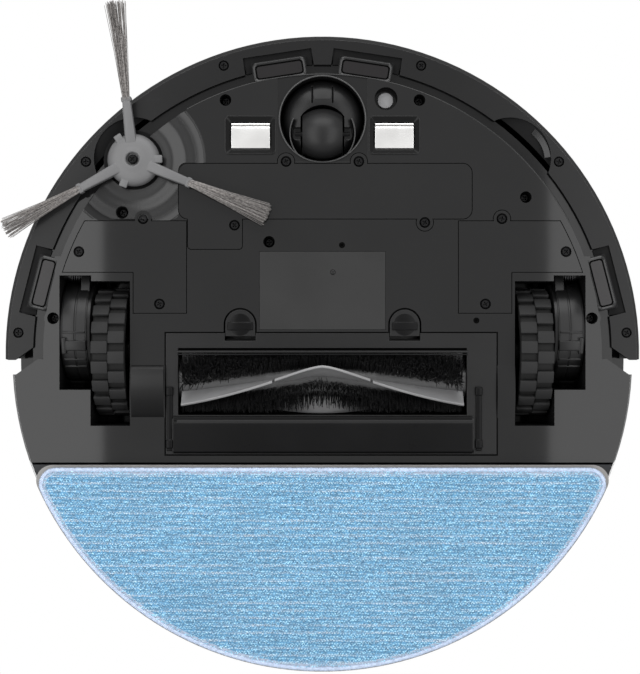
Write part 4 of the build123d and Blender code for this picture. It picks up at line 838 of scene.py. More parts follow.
YOKE_TOP = 22.0
POCKET_SIZE = (32.0, 6.8, 8.0)
POCKET_Z = 8.5
SLIT_SIZE = (0.9, 9.5, 6.0)
SLIT_AT = (5.4, -13.2, 11.5)
FORK_TAB_SIZE = (9.4, 8.0, 3.0)
FORK_TAB_AT = (-13.4, 12.4)
FORK_TAB_LEAN = -24
dome_profile = [(0, 9.0), (6.0, 9.1), (11.0, 9.7), (15.0, 10.8), (18.5, 12.6), (20.5, 14.4)]
dome_profile += [(YOKE_R, 16.0), (YOKE_R, YOKE_TOP), (0, YOKE_TOP)]
dome = join((lathe(dome_profile, 96), at(swivel.x, swivel.y, 0)))
arch_angle = math.degrees(math.asin(TUNNEL / ARCH_R))
arch_y = axle.y - 1.1
TUNNEL_BACK = -90.0
tunnel_outline = arc((axle.x, arch_y), ARCH_R, -90 - arch_angle, -90 + arch_angle, 16)
tunnel_outline += [(TUNNEL, TUNNEL_BACK), (-TUNNEL, TUNNEL_BACK)]
pocket = join((soft_box(POCKET_SIZE, 1.0), at(axle.x, axle.y, POCKET_Z)))
slits = []
for side in (-1, 1):
    slit_place = at(swivel.x + side * SLIT_AT[0], swivel.y + SLIT_AT[1], SLIT_AT[2])
    slits.append(join((soft_box(SLIT_SIZE, 0.2, 1), slit_place)))
yoke = cut_away(dome, prism(tunnel_outline, 0.0, 40.0), pocket, *slits)
tab_place = at(swivel.x, swivel.y + FORK_TAB_AT[0], FORK_TAB_AT[1]) @ turned(FORK_TAB_LEAN, "X")
fork = join((yoke, Matrix()), (soft_box(FORK_TAB_SIZE, 0.4), tab_place))
FORK_EDGE_R = (16.8, 17.4)
FORK_EDGE_Z = (8.0, 13.0)
FORK_EDGE_ARCS = ((-27, 40), (140, 207))
fork_edges = []
for start, end in FORK_EDGE_ARCS:
    outside = arc((axle.x, axle.y), FORK_EDGE_R[1], start, end, 24)
    inside = arc((axle.x, axle.y), FORK_EDGE_R[0], end, start, 24)
    fork_edges.append((prism(outside + inside, FORK_EDGE_Z[0], FORK_EDGE_Z[1]), Matrix()))
piece("caster_fork", fork, yoke_black, "caster_yoke", ("caster_yoke",), sharp=30)
CUP_RING = (22.75, 9.2)
CUP_RING_R = 0.42
ring_bead = arc(CUP_RING, CUP_RING_R, 0, 345, 12)
cup_ring = join((lathe(ring_bead, 96, closed=True), at(swivel.x, swivel.y, 0)))
cup_gloss = moulded("cup_ring_polished", (0.012, 0.012, 0.0122), 0.2, grain=0.02, wear=0.3, gloss=0.6)
piece("cup_ring", cup_ring, cup_gloss, "body")
piece("fork_edges", join(*fork_edges), cup_gloss, "caster_yoke")
finish(screw_steel, "caster_pin")

# Side brush
# A grey rubbery hub with a raised ring round its screw, three square sleeves and three clip tabs, over
# a stepped dish in the plate. Each sleeve holds a flat tuft of grey nylon that fans out to its tip.
hub_grey = moulded("brush_hub_tpe", (0.108, 0.108, 0.11), 0.45, grain=0.2, edge=0.4, wear=0.2, gloss=0.4)
hub_low = box_of("side_brush_hub")[0]
HUB_R = 13.7
ARM_ANGLES = (-96.3, 22.4, 151.2)
ARM_REACHES = (84.0, 77.5, 77.5)
TAB_ANGLES = (-124.0, -1.0, 111.0)
ARM_START = 8.5
ARM_END = 33.0
SLEEVE_SIZE = (ARM_END - ARM_START - 2.0, 5.2, 4.6)
SLEEVE_TAPER = (0.014, 0.005)
SLEEVE_Z = 3.1
COLLAR_SIZE = (2.6, 5.4, 4.6)
COLLAR_Z = 3.2
TAB_SIZE = (4.4, 4.2, 2.4)
TAB_AT = (13.2, 3.0)
hub_profile = [(0, 3.0), (3.3, 2.8), (3.5, 0.6), (4.0, 0.15), (5.0, 0.15), (5.8, 0.5), (7.5, 0.7), (9.5, 1.0)]
hub_profile += [(11.3, 1.6), (12.6, 2.5), (13.3, 3.4), (HUB_R, 4.4), (HUB_R, 7.0), (0, 7.0)]
hub_parts = [(lathe(hub_profile, 72), at(brush_at.x, brush_at.y, hub_low.z))]
for angle in ARM_ANGLES:
    arm = at(brush_at.x, brush_at.y, 0) @ turned(angle)
    sleeve = soft_box(SLEEVE_SIZE, 0.9)
    for vertex in sleeve.verts:
        vertex.co.y *= 1.0 - SLEEVE_TAPER[0] * vertex.co.x
        vertex.co.z *= 1.0 - SLEEVE_TAPER[1] * vertex.co.x
    hub_parts.append((sleeve, arm @ at((ARM_START + ARM_END) / 2 - 1.0, 0, hub_low.z + SLEEVE_Z)))
    collar_place = arm @ at(ARM_END - COLLAR_SIZE[0] / 2, 0, hub_low.z + COLLAR_Z)
    hub_parts.append((soft_box(COLLAR_SIZE, 0.6), collar_place))
for angle in TAB_ANGLES:
    tab_place = at(brush_at.x, brush_at.y, 0) @ turned(angle) @ at(TAB_AT[0], 0, hub_low.z + TAB_AT[1])
    hub_parts.append((soft_box(TAB_SIZE, 0.5, 2), tab_place))
DISH_EASE = 8
DISH_STEPS = ((38.0, 9.45), (32.2, 10.15), (27.5, 10.25), (20.4, 11.6), (15.3, 11.75))
dish_profile = []
for (outer, low_z), (inner, high_z) in zip(DISH_STEPS, DISH_STEPS[1:]):
    for step in range(DISH_EASE):
        share = step / DISH_EASE
        eased = share * share * (3 - 2 * share)
        dish_profile.append((outer + (inner - outer) * share, low_z + (high_z - low_z) * eased))
dish_profile += [DISH_STEPS[-1], (DISH_STEPS[-1][0], 12.9), (DISH_STEPS[-2][0], 12.6)]
dish_profile.append((DISH_STEPS[0][0], 9.9))
dish = join((lathe(dish_profile, 120, closed=True), at(brush_at.x, brush_at.y, 0)))


def trim(shape, point, outward):
    """Cuts a shape off beyond a plane and closes the cut."""
    whole = shape.verts[:] + shape.edges[:] + shape.faces[:]
    cut = bmesh.ops.bisect_plane(shape, geom=whole, plane_co=point, plane_no=outward, clear_outer=True)
    rim = [item for item in cut["geom_cut"] if isinstance(item, bmesh.types.BMEdge)]
    bmesh.ops.holes_fill(shape, edges=rim, sides=0)


COVER_EDGE = -71.4
trim(dish, (0, COVER_EDGE, 0), (0, 1, 0))
DISH_CUT_ANGLES = range(-70, -19, 2)
for around in DISH_CUT_ANGLES:
    outward = (math.sin(math.radians(around)), -math.cos(math.radians(around)), 0)
    trim(dish, Vector(outward) * PLATE_EDGE, outward)
BORE_AT = (-105.8, -74.8)
BORE_R = 3.4
CUT_TOP = 30.0
COVER_FRONT = -101.1
COVER_BACK = -40.0
COVER_ROUND = 4.1
bore = prism(arc(BORE_AT, BORE_R, 0, 350, 35), 0.0, CUT_TOP)
cover_corner = (box_of("battery_cover")[0].x + 3.6, COVER_FRONT + COVER_ROUND)
cover_outline = arc(cover_corner, COVER_ROUND, 180, 270, 8)
cover_outline += [(0, COVER_FRONT), (0, COVER_BACK), (cover_corner[0] - COVER_ROUND, COVER_BACK)]
dish = cut_away(dish, bore, prism(cover_outline, 0.0, CUT_TOP))
dish_satin = moulded("dish_satin_abs", BLACK, 0.3, grain=0.05, gloss=0.0)
DISH_GLOSS = ((0.0, 0.62), (50.0, 0.62))
gloss_by_height(dish_satin, DISH_GLOSS, 0.2)
piece("brush_dish", dish, dish_satin, "body", sharp=60)
piece("brush_hub", join(*hub_parts), hub_grey, "side_brush", ("side_brush_hub",))
finish(white_nylon, "side_brush_spindle")


def named(tree, label, kind="FLOAT"):
    """A value that each point carries under a name."""
    return add_node(tree, "GeometryNodeInputNamedAttribute", {"Name": label}, data_type=kind).outputs[0]


bristle_inputs = {
    "Thickness": "Float",
    "Tip": "Float",
    "Bend": "Float",
    "Seed": "Int",
    "Fibre": "Material",
}
bristle_tree, inlet, outlet = open_tree("bristles", bristle_inputs)
fibre_inputs = {
    "Radius Top": inlet["Tip"],
    "Radius Bottom": inlet["Thickness"],
    "Depth": 1.0,
    "Vertices": 4,
    "Side Segments": 2,
}
fibre = add_node(bristle_tree, "GeometryNodeMeshCone", fibre_inputs, fill_type="NGON")
fibre_place = bristle_tree.nodes.new("GeometryNodeInputPosition").outputs[0]
along = add_node(bristle_tree, "ShaderNodeSeparateXYZ", {0: fibre_place}).outputs["Z"]
sag = sums(bristle_tree, "MULTIPLY", sums(bristle_tree, "MULTIPLY", along, along), inlet["Bend"])
bow = add_node(bristle_tree, "ShaderNodeCombineXYZ", {"X": sag})
bend_inputs = {"Geometry": fibre.outputs[0], "Offset": bow.outputs[0]}
bent = add_node(bristle_tree, "GeometryNodeSetPosition", bend_inputs)
aim = named(bristle_tree, "aim", "FLOAT_VECTOR")
aligned = add_node(bristle_tree, "FunctionNodeAlignRotationToVector", {"Vector": aim}, axis="Z")
roll_angle = random_between(bristle_tree, 0.0, 6.28, inlet["Seed"])
roll = add_node(bristle_tree, "FunctionNodeAxisAngleToRotation", {"Axis": (0, 0, 1), "Angle": roll_angle})
turn_inputs = {"Rotation": aligned.outputs[0], "Rotate By": roll.outputs[0]}
fibre_turn = add_node(bristle_tree, "FunctionNodeRotateRotation", turn_inputs, rotation_space="LOCAL")
scale_inputs = {"X": 1.0, "Y": 1.0, "Z": named(bristle_tree, "length")}
fibre_scale = add_node(bristle_tree, "ShaderNodeCombineXYZ", scale_inputs)
planting = {
    "Points": inlet["Geometry"],
    "Instance": bent.outputs[0],
    "Rotation": fibre_turn.outputs[0],
    "Scale": fibre_scale.outputs[0],
}
planted = add_node(bristle_tree, "GeometryNodeInstanceOnPoints", planting)
close_tree(bristle_tree, outlet, planted.outputs[0], inlet["Fibre"])


def fibre_material(name, root, tip, rough, gloss=0.4):
    """Nylon bristle: each patch of fibres a little lighter or darker, with a soft sheen along it."""
    material, tree, place, shader = new_material(name)
    patch = noise(tree, place, 900.0, 1.0)
    blend = spread(tree, patch, 0.3, 0.7, 0, 1)
    connect(tree, shader.inputs["Base Color"], mix_colours(tree, blend, root, tip))
    patchy = spread(tree, noise(tree, place, 300.0), 0.3, 0.7, rough - 0.08, rough + 0.08)
    connect(tree, shader.inputs["Roughness"], patchy)
    shader.inputs["Specular IOR Level"].default_value = gloss
    return material


dice = random.Random(11)
tuft_low, tuft_high = box_of("side_brush_bristles")
TUFT_STRANDS = 110
TUFT_W = 3.4
TUFT_TIP_W = 8.6
roots = []
aims = []
lengths = []
for angle, tuft_reach in zip(ARM_ANGLES, ARM_REACHES):
    for _ in range(TUFT_STRANDS):
        u = dice.uniform(-1, 1)
        w = dice.uniform(-1, 1)
        root = Vector((ARM_END - 1.5, u * TUFT_W / 2, (tuft_low.z + tuft_high.z) / 2 + w * 0.9))
        reach = tuft_reach - dice.uniform(0, 2.0) - 0.8 * u * u
        end = Vector((reach, u * TUFT_TIP_W / 2 + dice.gauss(0, 0.5), root.z + w * 0.5))
        span = turned(angle) @ (end - root)
        roots.append(turned(angle) @ root + Vector((brush_at.x, brush_at.y, 0)))
        aims.append(span.normalized())
        lengths.append(span.length * MM)
nylon_grey = fibre_material("brush_nylon", (0.09, 0.083, 0.08, 1), (0.24, 0.225, 0.215, 1), 0.42)
FIBRE_R = 0.2
FIBRE_TIP = 0.13
values = {"Thickness": FIBRE_R * MM, "Tip": FIBRE_TIP * MM, "Bend": 1.6 * MM, "Seed": 4, "Fibre": nylon_grey}
tufts = grow("brush_tufts", bristle_tree, values, points_mesh("tuft_roots", roots, aim=aims, length=lengths))
settle(tufts, "side_brush", ("side_brush_bristles",))

# Main roller
# A grey core with three soft grey blades twisted into a chevron, each split near its thirds, and
# rows of black nylon beside them. It turns in a bush at one end and on its motor at the other.
core_grey = moulded("roller_core_grey", (0.04, 0.04, 0.041), 0.42, grain=0.15, edge=0.3, wear=0.2)
blade_grey = moulded("roller_blade_tpu", (0.185, 0.185, 0.188), 0.35, grain=0.1, edge=0.35, wear=0.5)
finish(core_grey, "roller_core")
roller_at = joint_at("roller_spin")
ROLLER_R = 17.4
CORE_R = 8.4
ROLLER_HALF = 74.5
LEAD = -28.0
TWIST = 72.0
TWIST_EASE = 0.75
SPLIT = 25.0
PEAK = 14.0


def blade_angle(x):
    """How far the blade has turned from straight down, in degrees, at a place along the roller."""
    share = (math.hypot(x, PEAK) - PEAK) / (ROLLER_HALF - PEAK)
    return LEAD + TWIST * share ** TWIST_EASE


def roller_point(x, angle, radius, side=0.0):
    """A point on the roller from its place along the axis, its angle and its radius."""
    a = math.radians(angle)
    y = roller_at.y + radius * math.sin(a) + side * math.cos(a)
    z = roller_at.z - radius * math.cos(a) + side * math.sin(a)
    return Vector((x, y, z))


blade_outline = [(CORE_R - 0.4, -1.2), (11.5, -0.75), (15.6, -0.5), (16.7, -0.8)]
blade_outline += [(ROLLER_R - 0.1, -0.6), (ROLLER_R, 0)]
blade_outline += [(radius, -side) for radius, side in reversed(blade_outline[:-1])]


def blade_part(x_low, x_high, start, steps=40):
    """One length of a blade, swept along the chevron, its ends closed."""
    rings = []
    for step in range(steps + 1):
        x = x_low + (x_high - x_low) * step / steps
        angle = blade_angle(x) + start
        rings.append([roller_point(x, angle, radius, side) for radius, side in blade_outline])
    return skin(rings)


SPLIT_GAP = 1.4
SPLIT_TURN = 1.5
blades = []
for third in range(3):
    start = 120 * third
    blades.append((blade_part(-SPLIT, SPLIT, start), Matrix()))
    blades.append((blade_part(-ROLLER_HALF, -SPLIT - SPLIT_GAP, start + SPLIT_TURN), Matrix()))
    blades.append((blade_part(SPLIT + SPLIT_GAP, ROLLER_HALF, start + SPLIT_TURN), Matrix()))
piece("roller_blades", join(*blades), blade_grey, "roller", ("roller_fins",))

ROW_STEP = 1.1
ROW_STRANDS = 10
roots = []
aims = []
lengths = []
FADE = 40.0
ROWS = (
    (36, 11, -FADE),
    (74, 12, -16),
    (180, 24, -FADE),
    (268, 10, -FADE),
    (285, 12, -FADE),
    (303, 10, -FADE),
    (320, 10, -FADE),
)
for row_start, half, clear in ROWS:
    x = -ROLLER_HALF + 0.5
    while x < ROLLER_HALF - 0.5:
        fullness = min(1.0, max(0.0, (abs(x) - clear) / FADE))
        for _ in range(round(ROW_STRANDS * fullness)):
            place = x + dice.uniform(-0.4, 0.4)
            angle = blade_angle(place) + row_start + dice.uniform(-half, half)
            root = roller_point(place, angle, CORE_R - 0.3)
            tip_x = place + dice.gauss(0, 0.6)
            tip_angle = angle + dice.gauss(0, 4)
            tip = roller_point(tip_x, tip_angle, ROLLER_R - dice.uniform(0.2, 2.4))
            roots.append(root)
            aims.append((tip - root).normalized())
            lengths.append((tip - root).length * MM)
        x += ROW_STEP
nylon_black = fibre_material("roller_nylon", (0.003, 0.003, 0.0032, 1), (0.009, 0.009, 0.0095, 1), 0.5, 0.2)
values = {"Thickness": FIBRE_R * MM, "Tip": FIBRE_TIP * MM, "Bend": 0.6 * MM, "Seed": 9, "Fibre": nylon_black}
rows = grow("roller_rows", bristle_tree, values, points_mesh("row_roots", roots, aim=aims, length=lengths))
settle(rows, "roller", ("roller_bristles",))
finish(white_nylon, "roller_bush")

# Brush guard
# One moulded frame that snaps over the roller, held by two spring tabs at its front edge, with a lip,
# ribs and straps that carpet rubs smooth. Black strips of painted shade mark the gap round it and lie
# beside its ribs, and a low hump lies at its left.
GUARD_BLACK = (0.006, 0.006, 0.0062)
finish(moulded("guard_abs", GUARD_BLACK, 0.38, edge=0.5, wear=0.3, scuff=0.2, gloss=0.2), "brush_guard")
LIP_X = (-78.5, 79.0)
LIP_Y = (32.6, 52.4)
LIP_Z = 9.5
BULGE_HALF = 7.8
BULGE_RISE = 0.9
lip_steps = [(0, 1.0), (0, -0.7), (0.5, -1.3), (2.2, -1.5), (2.5, -1.1), (2.9, -1.1), (3.3, -1.6)]
lip_profile = [(LIP_Y[0] + back, LIP_Z + up) for back, up in lip_steps]
for step in range(1, 16):
    a = math.pi * step / 16
    back = 11.3 - BULGE_HALF * math.cos(a)
    lip_profile.append((LIP_Y[0] + back, LIP_Z - 1.6 - BULGE_RISE * math.sin(a)))
lip_profile += [(LIP_Y[1] - 0.4, LIP_Z - 1.2), (LIP_Y[1], LIP_Z - 0.4), (LIP_Y[1], LIP_Z + 1.0)]
LIP_DARK = (0.004, 0.004, 0.0042)
lip_black = moulded("guard_lip_polished", LIP_DARK, 0.3, grain=0.06, edge=0.6, wear=0.15, scuff=0.3,
                    gloss=0.08)
RIB_SIZE = (153.0, 0.8, 1.0)
RIB_Y = (-1.6, 0.15)
STRAP_SIZE = (3.0, 33.0, 1.6)
STRAP_X = (-80.6, 82.4)
STRAP_Y = 34.6
KNUCKLE_SIZE = (3.8, 4.6, 2.6)
KNUCKLE_Y = (19.6, 47.4)
guard_extras = [(extrude(lip_profile, LIP_X[0], LIP_X[1]), Matrix())]
for front in RIB_Y:
    guard_extras.append((soft_box(RIB_SIZE, 0.3, 2), at(0, front, LIP_Z - 0.4)))
for strap_x in STRAP_X:
    guard_extras.append((soft_box(STRAP_SIZE, 0.5), at(strap_x, STRAP_Y, LIP_Z - 0.4)))
    for knuckle_y in KNUCKLE_Y:
        guard_extras.append((soft_box(KNUCKLE_SIZE, 0.7), at(strap_x, knuckle_y, LIP_Z - 0.6)))
piece("guard_lip", join(*guard_extras), lip_black, "brush_guard")
# Painted shade: a black strip beside the front ribs.
SHADE_SIZE = (153.0, 3.2, 0.6)
SHADE_Y = -2.2
shade_strip = join((soft_box(SHADE_SIZE, 0.2, 2), at(0, SHADE_Y, LIP_Z + 0.8)))
piece("guard_shade", shade_strip, painted_shade_black, "brush_guard")
GUARD_X = (-82.6, 91.8)
GUARD_Y = (-11.0, 52.9)
# Painted shade: the gap round the guard is drawn as flat black strips, broken at the two spring tabs.
GAP_W = 0.75
GAP_CLEAR = 0.05
TAB_CLEAR = (35.0, 52.0)
gap_low = (GUARD_X[0] - GAP_W, GUARD_Y[0] - GAP_W)
gap_high = (GUARD_X[1] + GAP_W, GUARD_Y[1] + GAP_W)
gap_boxes = [(gap_low[0], gap_low[1], GUARD_X[0] - GAP_CLEAR, gap_high[1])]
gap_boxes.append((GUARD_X[1] + GAP_CLEAR, gap_low[1], gap_high[0], gap_high[1]))
gap_boxes.append((GUARD_X[0], GUARD_Y[1] + GAP_CLEAR, GUARD_X[1], gap_high[1]))
gap_runs = ((GUARD_X[0], -TAB_CLEAR[1]), (-TAB_CLEAR[0], TAB_CLEAR[0]), (TAB_CLEAR[1], GUARD_X[1]))
for start, end in gap_runs:
    gap_boxes.append((start, gap_low[1], end, GUARD_Y[0] - GAP_CLEAR))
gap_strips = []
for x0, y0, x1, y1 in gap_boxes:
    outline = [(x0, y0), (x1, y0), (x1, y1), (x0, y1)]
    gap_strips.append((prism(outline, LIP_Z - 0.06, LIP_Z + 0.5), Matrix()))
piece("guard_gap", join(*gap_strips), painted_shade_black, "body")
HUMP_X = (-100.8, -83.6)
HUMP_GLOSS = ((6.2, 0.6), (6.8, 0.3), (7.6, 0.12), (9.0, 0.02))
hump_profile = [(6.0, 10.4), (6.0, 9.0), (6.5, 7.7), (8.2, 6.7), (11.5, 6.2), (15.0, 6.3), (20.0, 6.9)]
hump_profile += [(26.0, 7.75), (32.6, 8.95), (33.3, 9.4), (33.3, 10.4)]
hump_black = moulded("hump_abs", BLACK, 0.3, grain=0.06, gloss=0.0)
gloss_by_height(hump_black, HUMP_GLOSS, 0.2)
piece("mouth_hump", extrude(hump_profile, HUMP_X[0], HUMP_X[1]), hump_black, "body")
RAMP_SIZE = (13.4, 4.2, 1.3)
RAMP_Y = 5.2
RAMP_LEAN = -4
DOME_Y = 7.9
dome_profile = [(0, -0.5), (2.8, -0.45), (4.9, -0.25), (6.2, 0.1), (6.2, 0.5), (0, 0.5)]
latch_abs = moulded("latch_abs", GUARD_BLACK, 0.4, edge=0.4, wear=0.4, gloss=0.2)
for side in ("left", "right"):
    latch = "guard_latch_" + side
    tab_low, tab_high = box_of(latch)
    middle = (tab_low.x + tab_high.x) / 2
    ramp_place = at(middle, tab_high.y - RAMP_Y, LIP_Z - 0.1) @ turned(RAMP_LEAN, "X")
    grips = [(soft_box(RAMP_SIZE, 0.5), ramp_place)]
    grips.append((lathe(dome_profile, 40), at(middle, tab_low.y + DOME_Y, LIP_Z)))
    piece("latch_grip_" + side, join(*grips), lip_black, latch)
    finish(latch_abs, latch)

# Mop and water tank
# A smoked tank slides out at the back with a grey plate under it. The microfibre pad grips the plate
# with hook tape: blue terry loops knitted in rows with paler yarn, and a pale overlocked edge.
SMOKE = (0.02, 0.021, 0.023)
tank_smoke = moulded("tank_smoked", SMOKE, 0.3, grain=0.04, edge=0.5, wear=0.15, scuff=0.3, gloss=0.12)
plate_grey = moulded("mop_plate_grey", (0.22, 0.215, 0.21), 0.45, grain=0.15, wear=0.2)
plug_grey = moulded("plug_rubber", (0.2, 0.2, 0.205), 0.55, grain=0.25)
finish(tank_smoke, "water_tank")
finish(plug_grey, "tank_plug")
finish(plate_grey, "mop_plate")
cloth_low, cloth_high = box_of("mop_cloth")
CLOTH_SHIFT = 2.8
CLOTH_R = cloth_high.y - CLOTH_SHIFT
CLOTH_CORNER = 8.5


def cloth_outline(inset, steps=120):
    """The pad seen from below: a circle cut off across its front, round at both corners, drawn in."""
    radius = CLOTH_R - inset
    front = cloth_low.y + inset
    corner = max(CLOTH_CORNER - inset, 1.0)
    corner_y = front + corner
    corner_x = math.sqrt((radius - corner) ** 2 - (corner_y - CLOTH_SHIFT) ** 2)
    tangent = math.degrees(math.atan2(corner_y - CLOTH_SHIFT, corner_x))
    right = arc((corner_x, corner_y), corner, -90, tangent, 12)
    rear = arc((0, CLOTH_SHIFT), radius, tangent, 180 - tangent, steps)
    left = arc((-corner_x, corner_y), corner, 180 - tangent, 270, 12)
    return right + rear[1:-1] + left


def inside_cloth(x, y, inset):
    """Whether a point lies on the pad, clear of its edge."""
    radius = CLOTH_R - inset
    front = cloth_low.y + inset
    if y < front or math.hypot(x, y - CLOTH_SHIFT) > radius:
        return False
    corner = CLOTH_CORNER - inset
    corner_x = math.sqrt((radius - corner) ** 2 - (front + corner - CLOTH_SHIFT) ** 2)
    if abs(x) > corner_x and y < front + corner:
        return math.hypot(abs(x) - corner_x, y - front - corner) < corner
    return True


LOOP_X = 1.45
LOOP_Y = 1.3
PALE_STEP = 3 * LOOP_Y
LOOP_SCALE = 620.0
CLOUD_SCALE = 26.0
FUZZ_SCALE = 4200.0
FUZZ_DEPTH = 0.0002
STRETCH = (22.0, 240.0, 1.0)
# How far above the wall height the yarn's painted shade takes to reach its full depth.
UPPER_SHADE_DEPTH = 0.9


def yarn_material(name, colour, pale, rows, contrast=0.3, wall=1.9):
    """Fuzzy yarn: loops of two tones, paler rows where they are asked for, fine fibres, and painted shade
    above the wall height.
    """
    material, tree, place, shader = new_material(name)
    each = noise(tree, place, LOOP_SCALE, 1.0)
    two_tone = spread(tree, each, 0.35, 0.65, 0, 1)
    toned = mix_colours(tree, two_tone, tint(colour, 1 - contrast), tint(colour, 1 + contrast))
    cloud = spread(tree, noise(tree, place, CLOUD_SCALE, 3.0), 0.35, 0.65, 0.0, 1.0)
    shaded = mix_colours(tree, sums(tree, "MULTIPLY", cloud, contrast), toned, tint(colour, 0.7))
    axes = add_node(tree, "ShaderNodeSeparateXYZ", {0: place}).outputs
    phase = sums(tree, "MULTIPLY", axes["Y"], 2 * math.pi / (PALE_STEP * MM))
    wave = sums(tree, "SINE", phase)
    stretched = add_node(tree, "ShaderNodeMapping", {"Vector": place, "Scale": STRETCH})
    patches = spread(tree, noise(tree, stretched.outputs[0], 1.0, 2.0), 0.34, 0.6, 0.0, 1.0)
    lines = sums(tree, "MULTIPLY", spread(tree, wave, 0.25, 0.75, 0.0, 1.0), patches)
    striped = mix_colours(tree, sums(tree, "MULTIPLY", lines, rows), shaded, tint(pale, 1.0))
    # Painted shade: above the wall height the colour darkens towards near black, so that the pad's sides, lit
    # by the lamps below, read as shaded.
    painted_upper_shade = spread(tree, axes["Z"], wall * MM, (wall + UPPER_SHADE_DEPTH) * MM, 0.0, 0.85)
    connect(tree, shader.inputs["Base Color"], mix_colours(tree, painted_upper_shade, striped, tint(colour, 0.08)))
    connect(tree, shader.inputs["Roughness"], spread(tree, each, 0.3, 0.7, 0.8, 0.95))
    shader.inputs["Sheen Weight"].default_value = 0.08
    shader.inputs["Sheen Roughness"].default_value = 0.5
    fuzz = noise(tree, place, FUZZ_SCALE, 3.0)
    bump_inputs = {"Strength": 0.5, "Distance": FUZZ_DEPTH, "Height": fuzz}
    connect(tree, shader.inputs["Normal"], add_node(tree, "ShaderNodeBump", bump_inputs).outputs[0])
    return material


def tube_ring(centre, out, radius, sides):
    """The ring of a tube about a point of its line, in the plane of one direction and of Y."""
    turns = [2 * math.pi * side / sides for side in range(sides)]
    return [centre + radius * (math.cos(t) * out + math.sin(t) * Vector((0, 1, 0))) for t in turns]


def yarn_loop(span, rise, radius, rings=3, sides=3):
    """A small arch of yarn that hangs down from z 0, its feet open and sunk in the cloth."""
    loops = []
    for ring in range(rings):
        a = math.pi * ring / (rings - 1)
        centre = Vector((-span / 2 * math.cos(a), 0, -rise * math.sin(a)))
        loops.append(tube_ring(centre, Vector((-math.cos(a), 0, -math.sin(a))), radius, sides))
    return skin(loops, ends=False)


sewn_inputs = {"Loop": "Object", "Lean": "Float", "Seed": "Int", "Yarn": "Material"}
sewn_tree, inlet, outlet = open_tree("sewn_loops", sewn_inputs)
yarn = add_node(sewn_tree, "GeometryNodeObjectInfo", {"Object": inlet["Loop"]})
lean_back = sums(sewn_tree, "MULTIPLY", inlet["Lean"], -1.0)
lean = random_between(sewn_tree, lean_back, inlet["Lean"], inlet["Seed"])
angle_inputs = {"X": lean, "Y": 0.0, "Z": named(sewn_tree, "turn")}
yarn_angles = add_node(sewn_tree, "ShaderNodeCombineXYZ", angle_inputs)
sewing = {
    "Points": inlet["Geometry"],
    "Instance": yarn.outputs["Geometry"],
    "Rotation": yarn_angles.outputs[0],
    "Scale": named(sewn_tree, "size"),
}
sewn = add_node(sewn_tree, "GeometryNodeInstanceOnPoints", sewing)
close_tree(sewn_tree, outlet, sewn.outputs[0], inlet["Yarn"])

MOP_BLUE = (0.41, 0.665, 0.885)
MOP_PALE = (0.68, 0.73, 0.79)
GROUND_BLUE = (0.11, 0.27, 0.43)
EDGE_LILAC = (0.5, 0.585, 0.74)
terry = yarn_material("terry_blue", MOP_BLUE, MOP_PALE, 0.75)
ground = yarn_material("terry_ground", GROUND_BLUE, MOP_PALE, 0.15)
# On the edging the painted shade starts lower, at 1.1 mm.
edging = yarn_material("edging_lilac", EDGE_LILAC, MOP_PALE, 0.0, 0.1, 1.1)
PAD_BASE = cloth_low.z + 1.4
EDGE_W = 2.4
pad_rings = [(1.0, cloth_high.z), (0.2, cloth_high.z - 0.7), (0.0, cloth_high.z - 2.0), (0.5, PAD_BASE + 0.4)]
pad_rings += [(1.6, PAD_BASE + 0.1), (EDGE_W, PAD_BASE + 0.1), (EDGE_W + 1.0, PAD_BASE), (12.0, PAD_BASE)]
pad = skin([[(x, y, z) for x, y in cloth_outline(inset)] for inset, z in pad_rings])
for face in pad.faces:
    face.material_index = int(face.calc_center_median().z < PAD_BASE + 0.05)
mop_pad = piece("mop_pad", pad, edging, "tank", ("mop_cloth",))
mop_pad.data.materials.append(ground)


def sew(name, shape, seats, turns, sizes, lean, seed, material):
    """Sets a shape on seats, each with its own turn and size, and returns the whole."""
    template = loose_object("sewn_template", shape)
    values = {"Loop": template, "Lean": lean, "Seed": seed, "Yarn": material}
    whole = grow(name, sewn_tree, values, points_mesh(name + "_seats", seats, turn=turns, size=sizes))
    bpy.data.objects.remove(template)
    return whole


PILE_INSET = 1.8
WAVER = 0.3
SHIFT = 0.25
seats = []
turns = []
sizes = []
y = cloth_low.y + PILE_INSET
row = 0
while y < cloth_high.y - PILE_INSET:
    x = -CLOTH_R + (row % 2) * LOOP_X / 2
    while x < CLOTH_R:
        if inside_cloth(x, y, PILE_INSET):
            seat_y = y + WAVER * math.sin(0.21 * x + 1.9 * row)
            seat_x = x + dice.uniform(-SHIFT, SHIFT)
            seats.append((seat_x, seat_y + dice.uniform(-SHIFT, SHIFT), PAD_BASE + 0.25))
            turns.append(dice.gauss(0, 0.5))
            sizes.append(dice.uniform(0.82, 1.12))
        x += LOOP_X
    y += LOOP_Y
    row += 1
pile = sew("mop_pile", yarn_loop(0.95, 0.8, 0.43), seats, turns, sizes, 0.35, 21, terry)
settle(pile, "tank")

STITCH_STEP = 0.8
STITCH_INSET = 0.95
STITCH_SLANT = 0.3
edge_line = cloth_outline(STITCH_INSET)
seats = []
turns = []
sizes = []
left_over = 0.0
for start, end in zip(edge_line, edge_line[1:] + edge_line[:1]):
    run = math.dist(start, end)
    heading = math.atan2(end[1] - start[1], end[0] - start[0])
    while left_over < run:
        share = left_over / run
        stitch_x = start[0] + (end[0] - start[0]) * share
        stitch_y = start[1] + (end[1] - start[1]) * share
        seats.append((stitch_x, stitch_y, PAD_BASE + 0.5))
        turns.append(heading - math.pi / 2 + STITCH_SLANT + dice.gauss(0, 0.06))
        sizes.append(dice.uniform(0.94, 1.06))
        left_over += STITCH_STEP
    left_over -= run
stitches = sew("mop_edge_stitches", yarn_loop(1.9, 0.7, 0.5, 6, 5), seats, turns, sizes, 0.05, 22, edging)
settle(stitches, "tank")

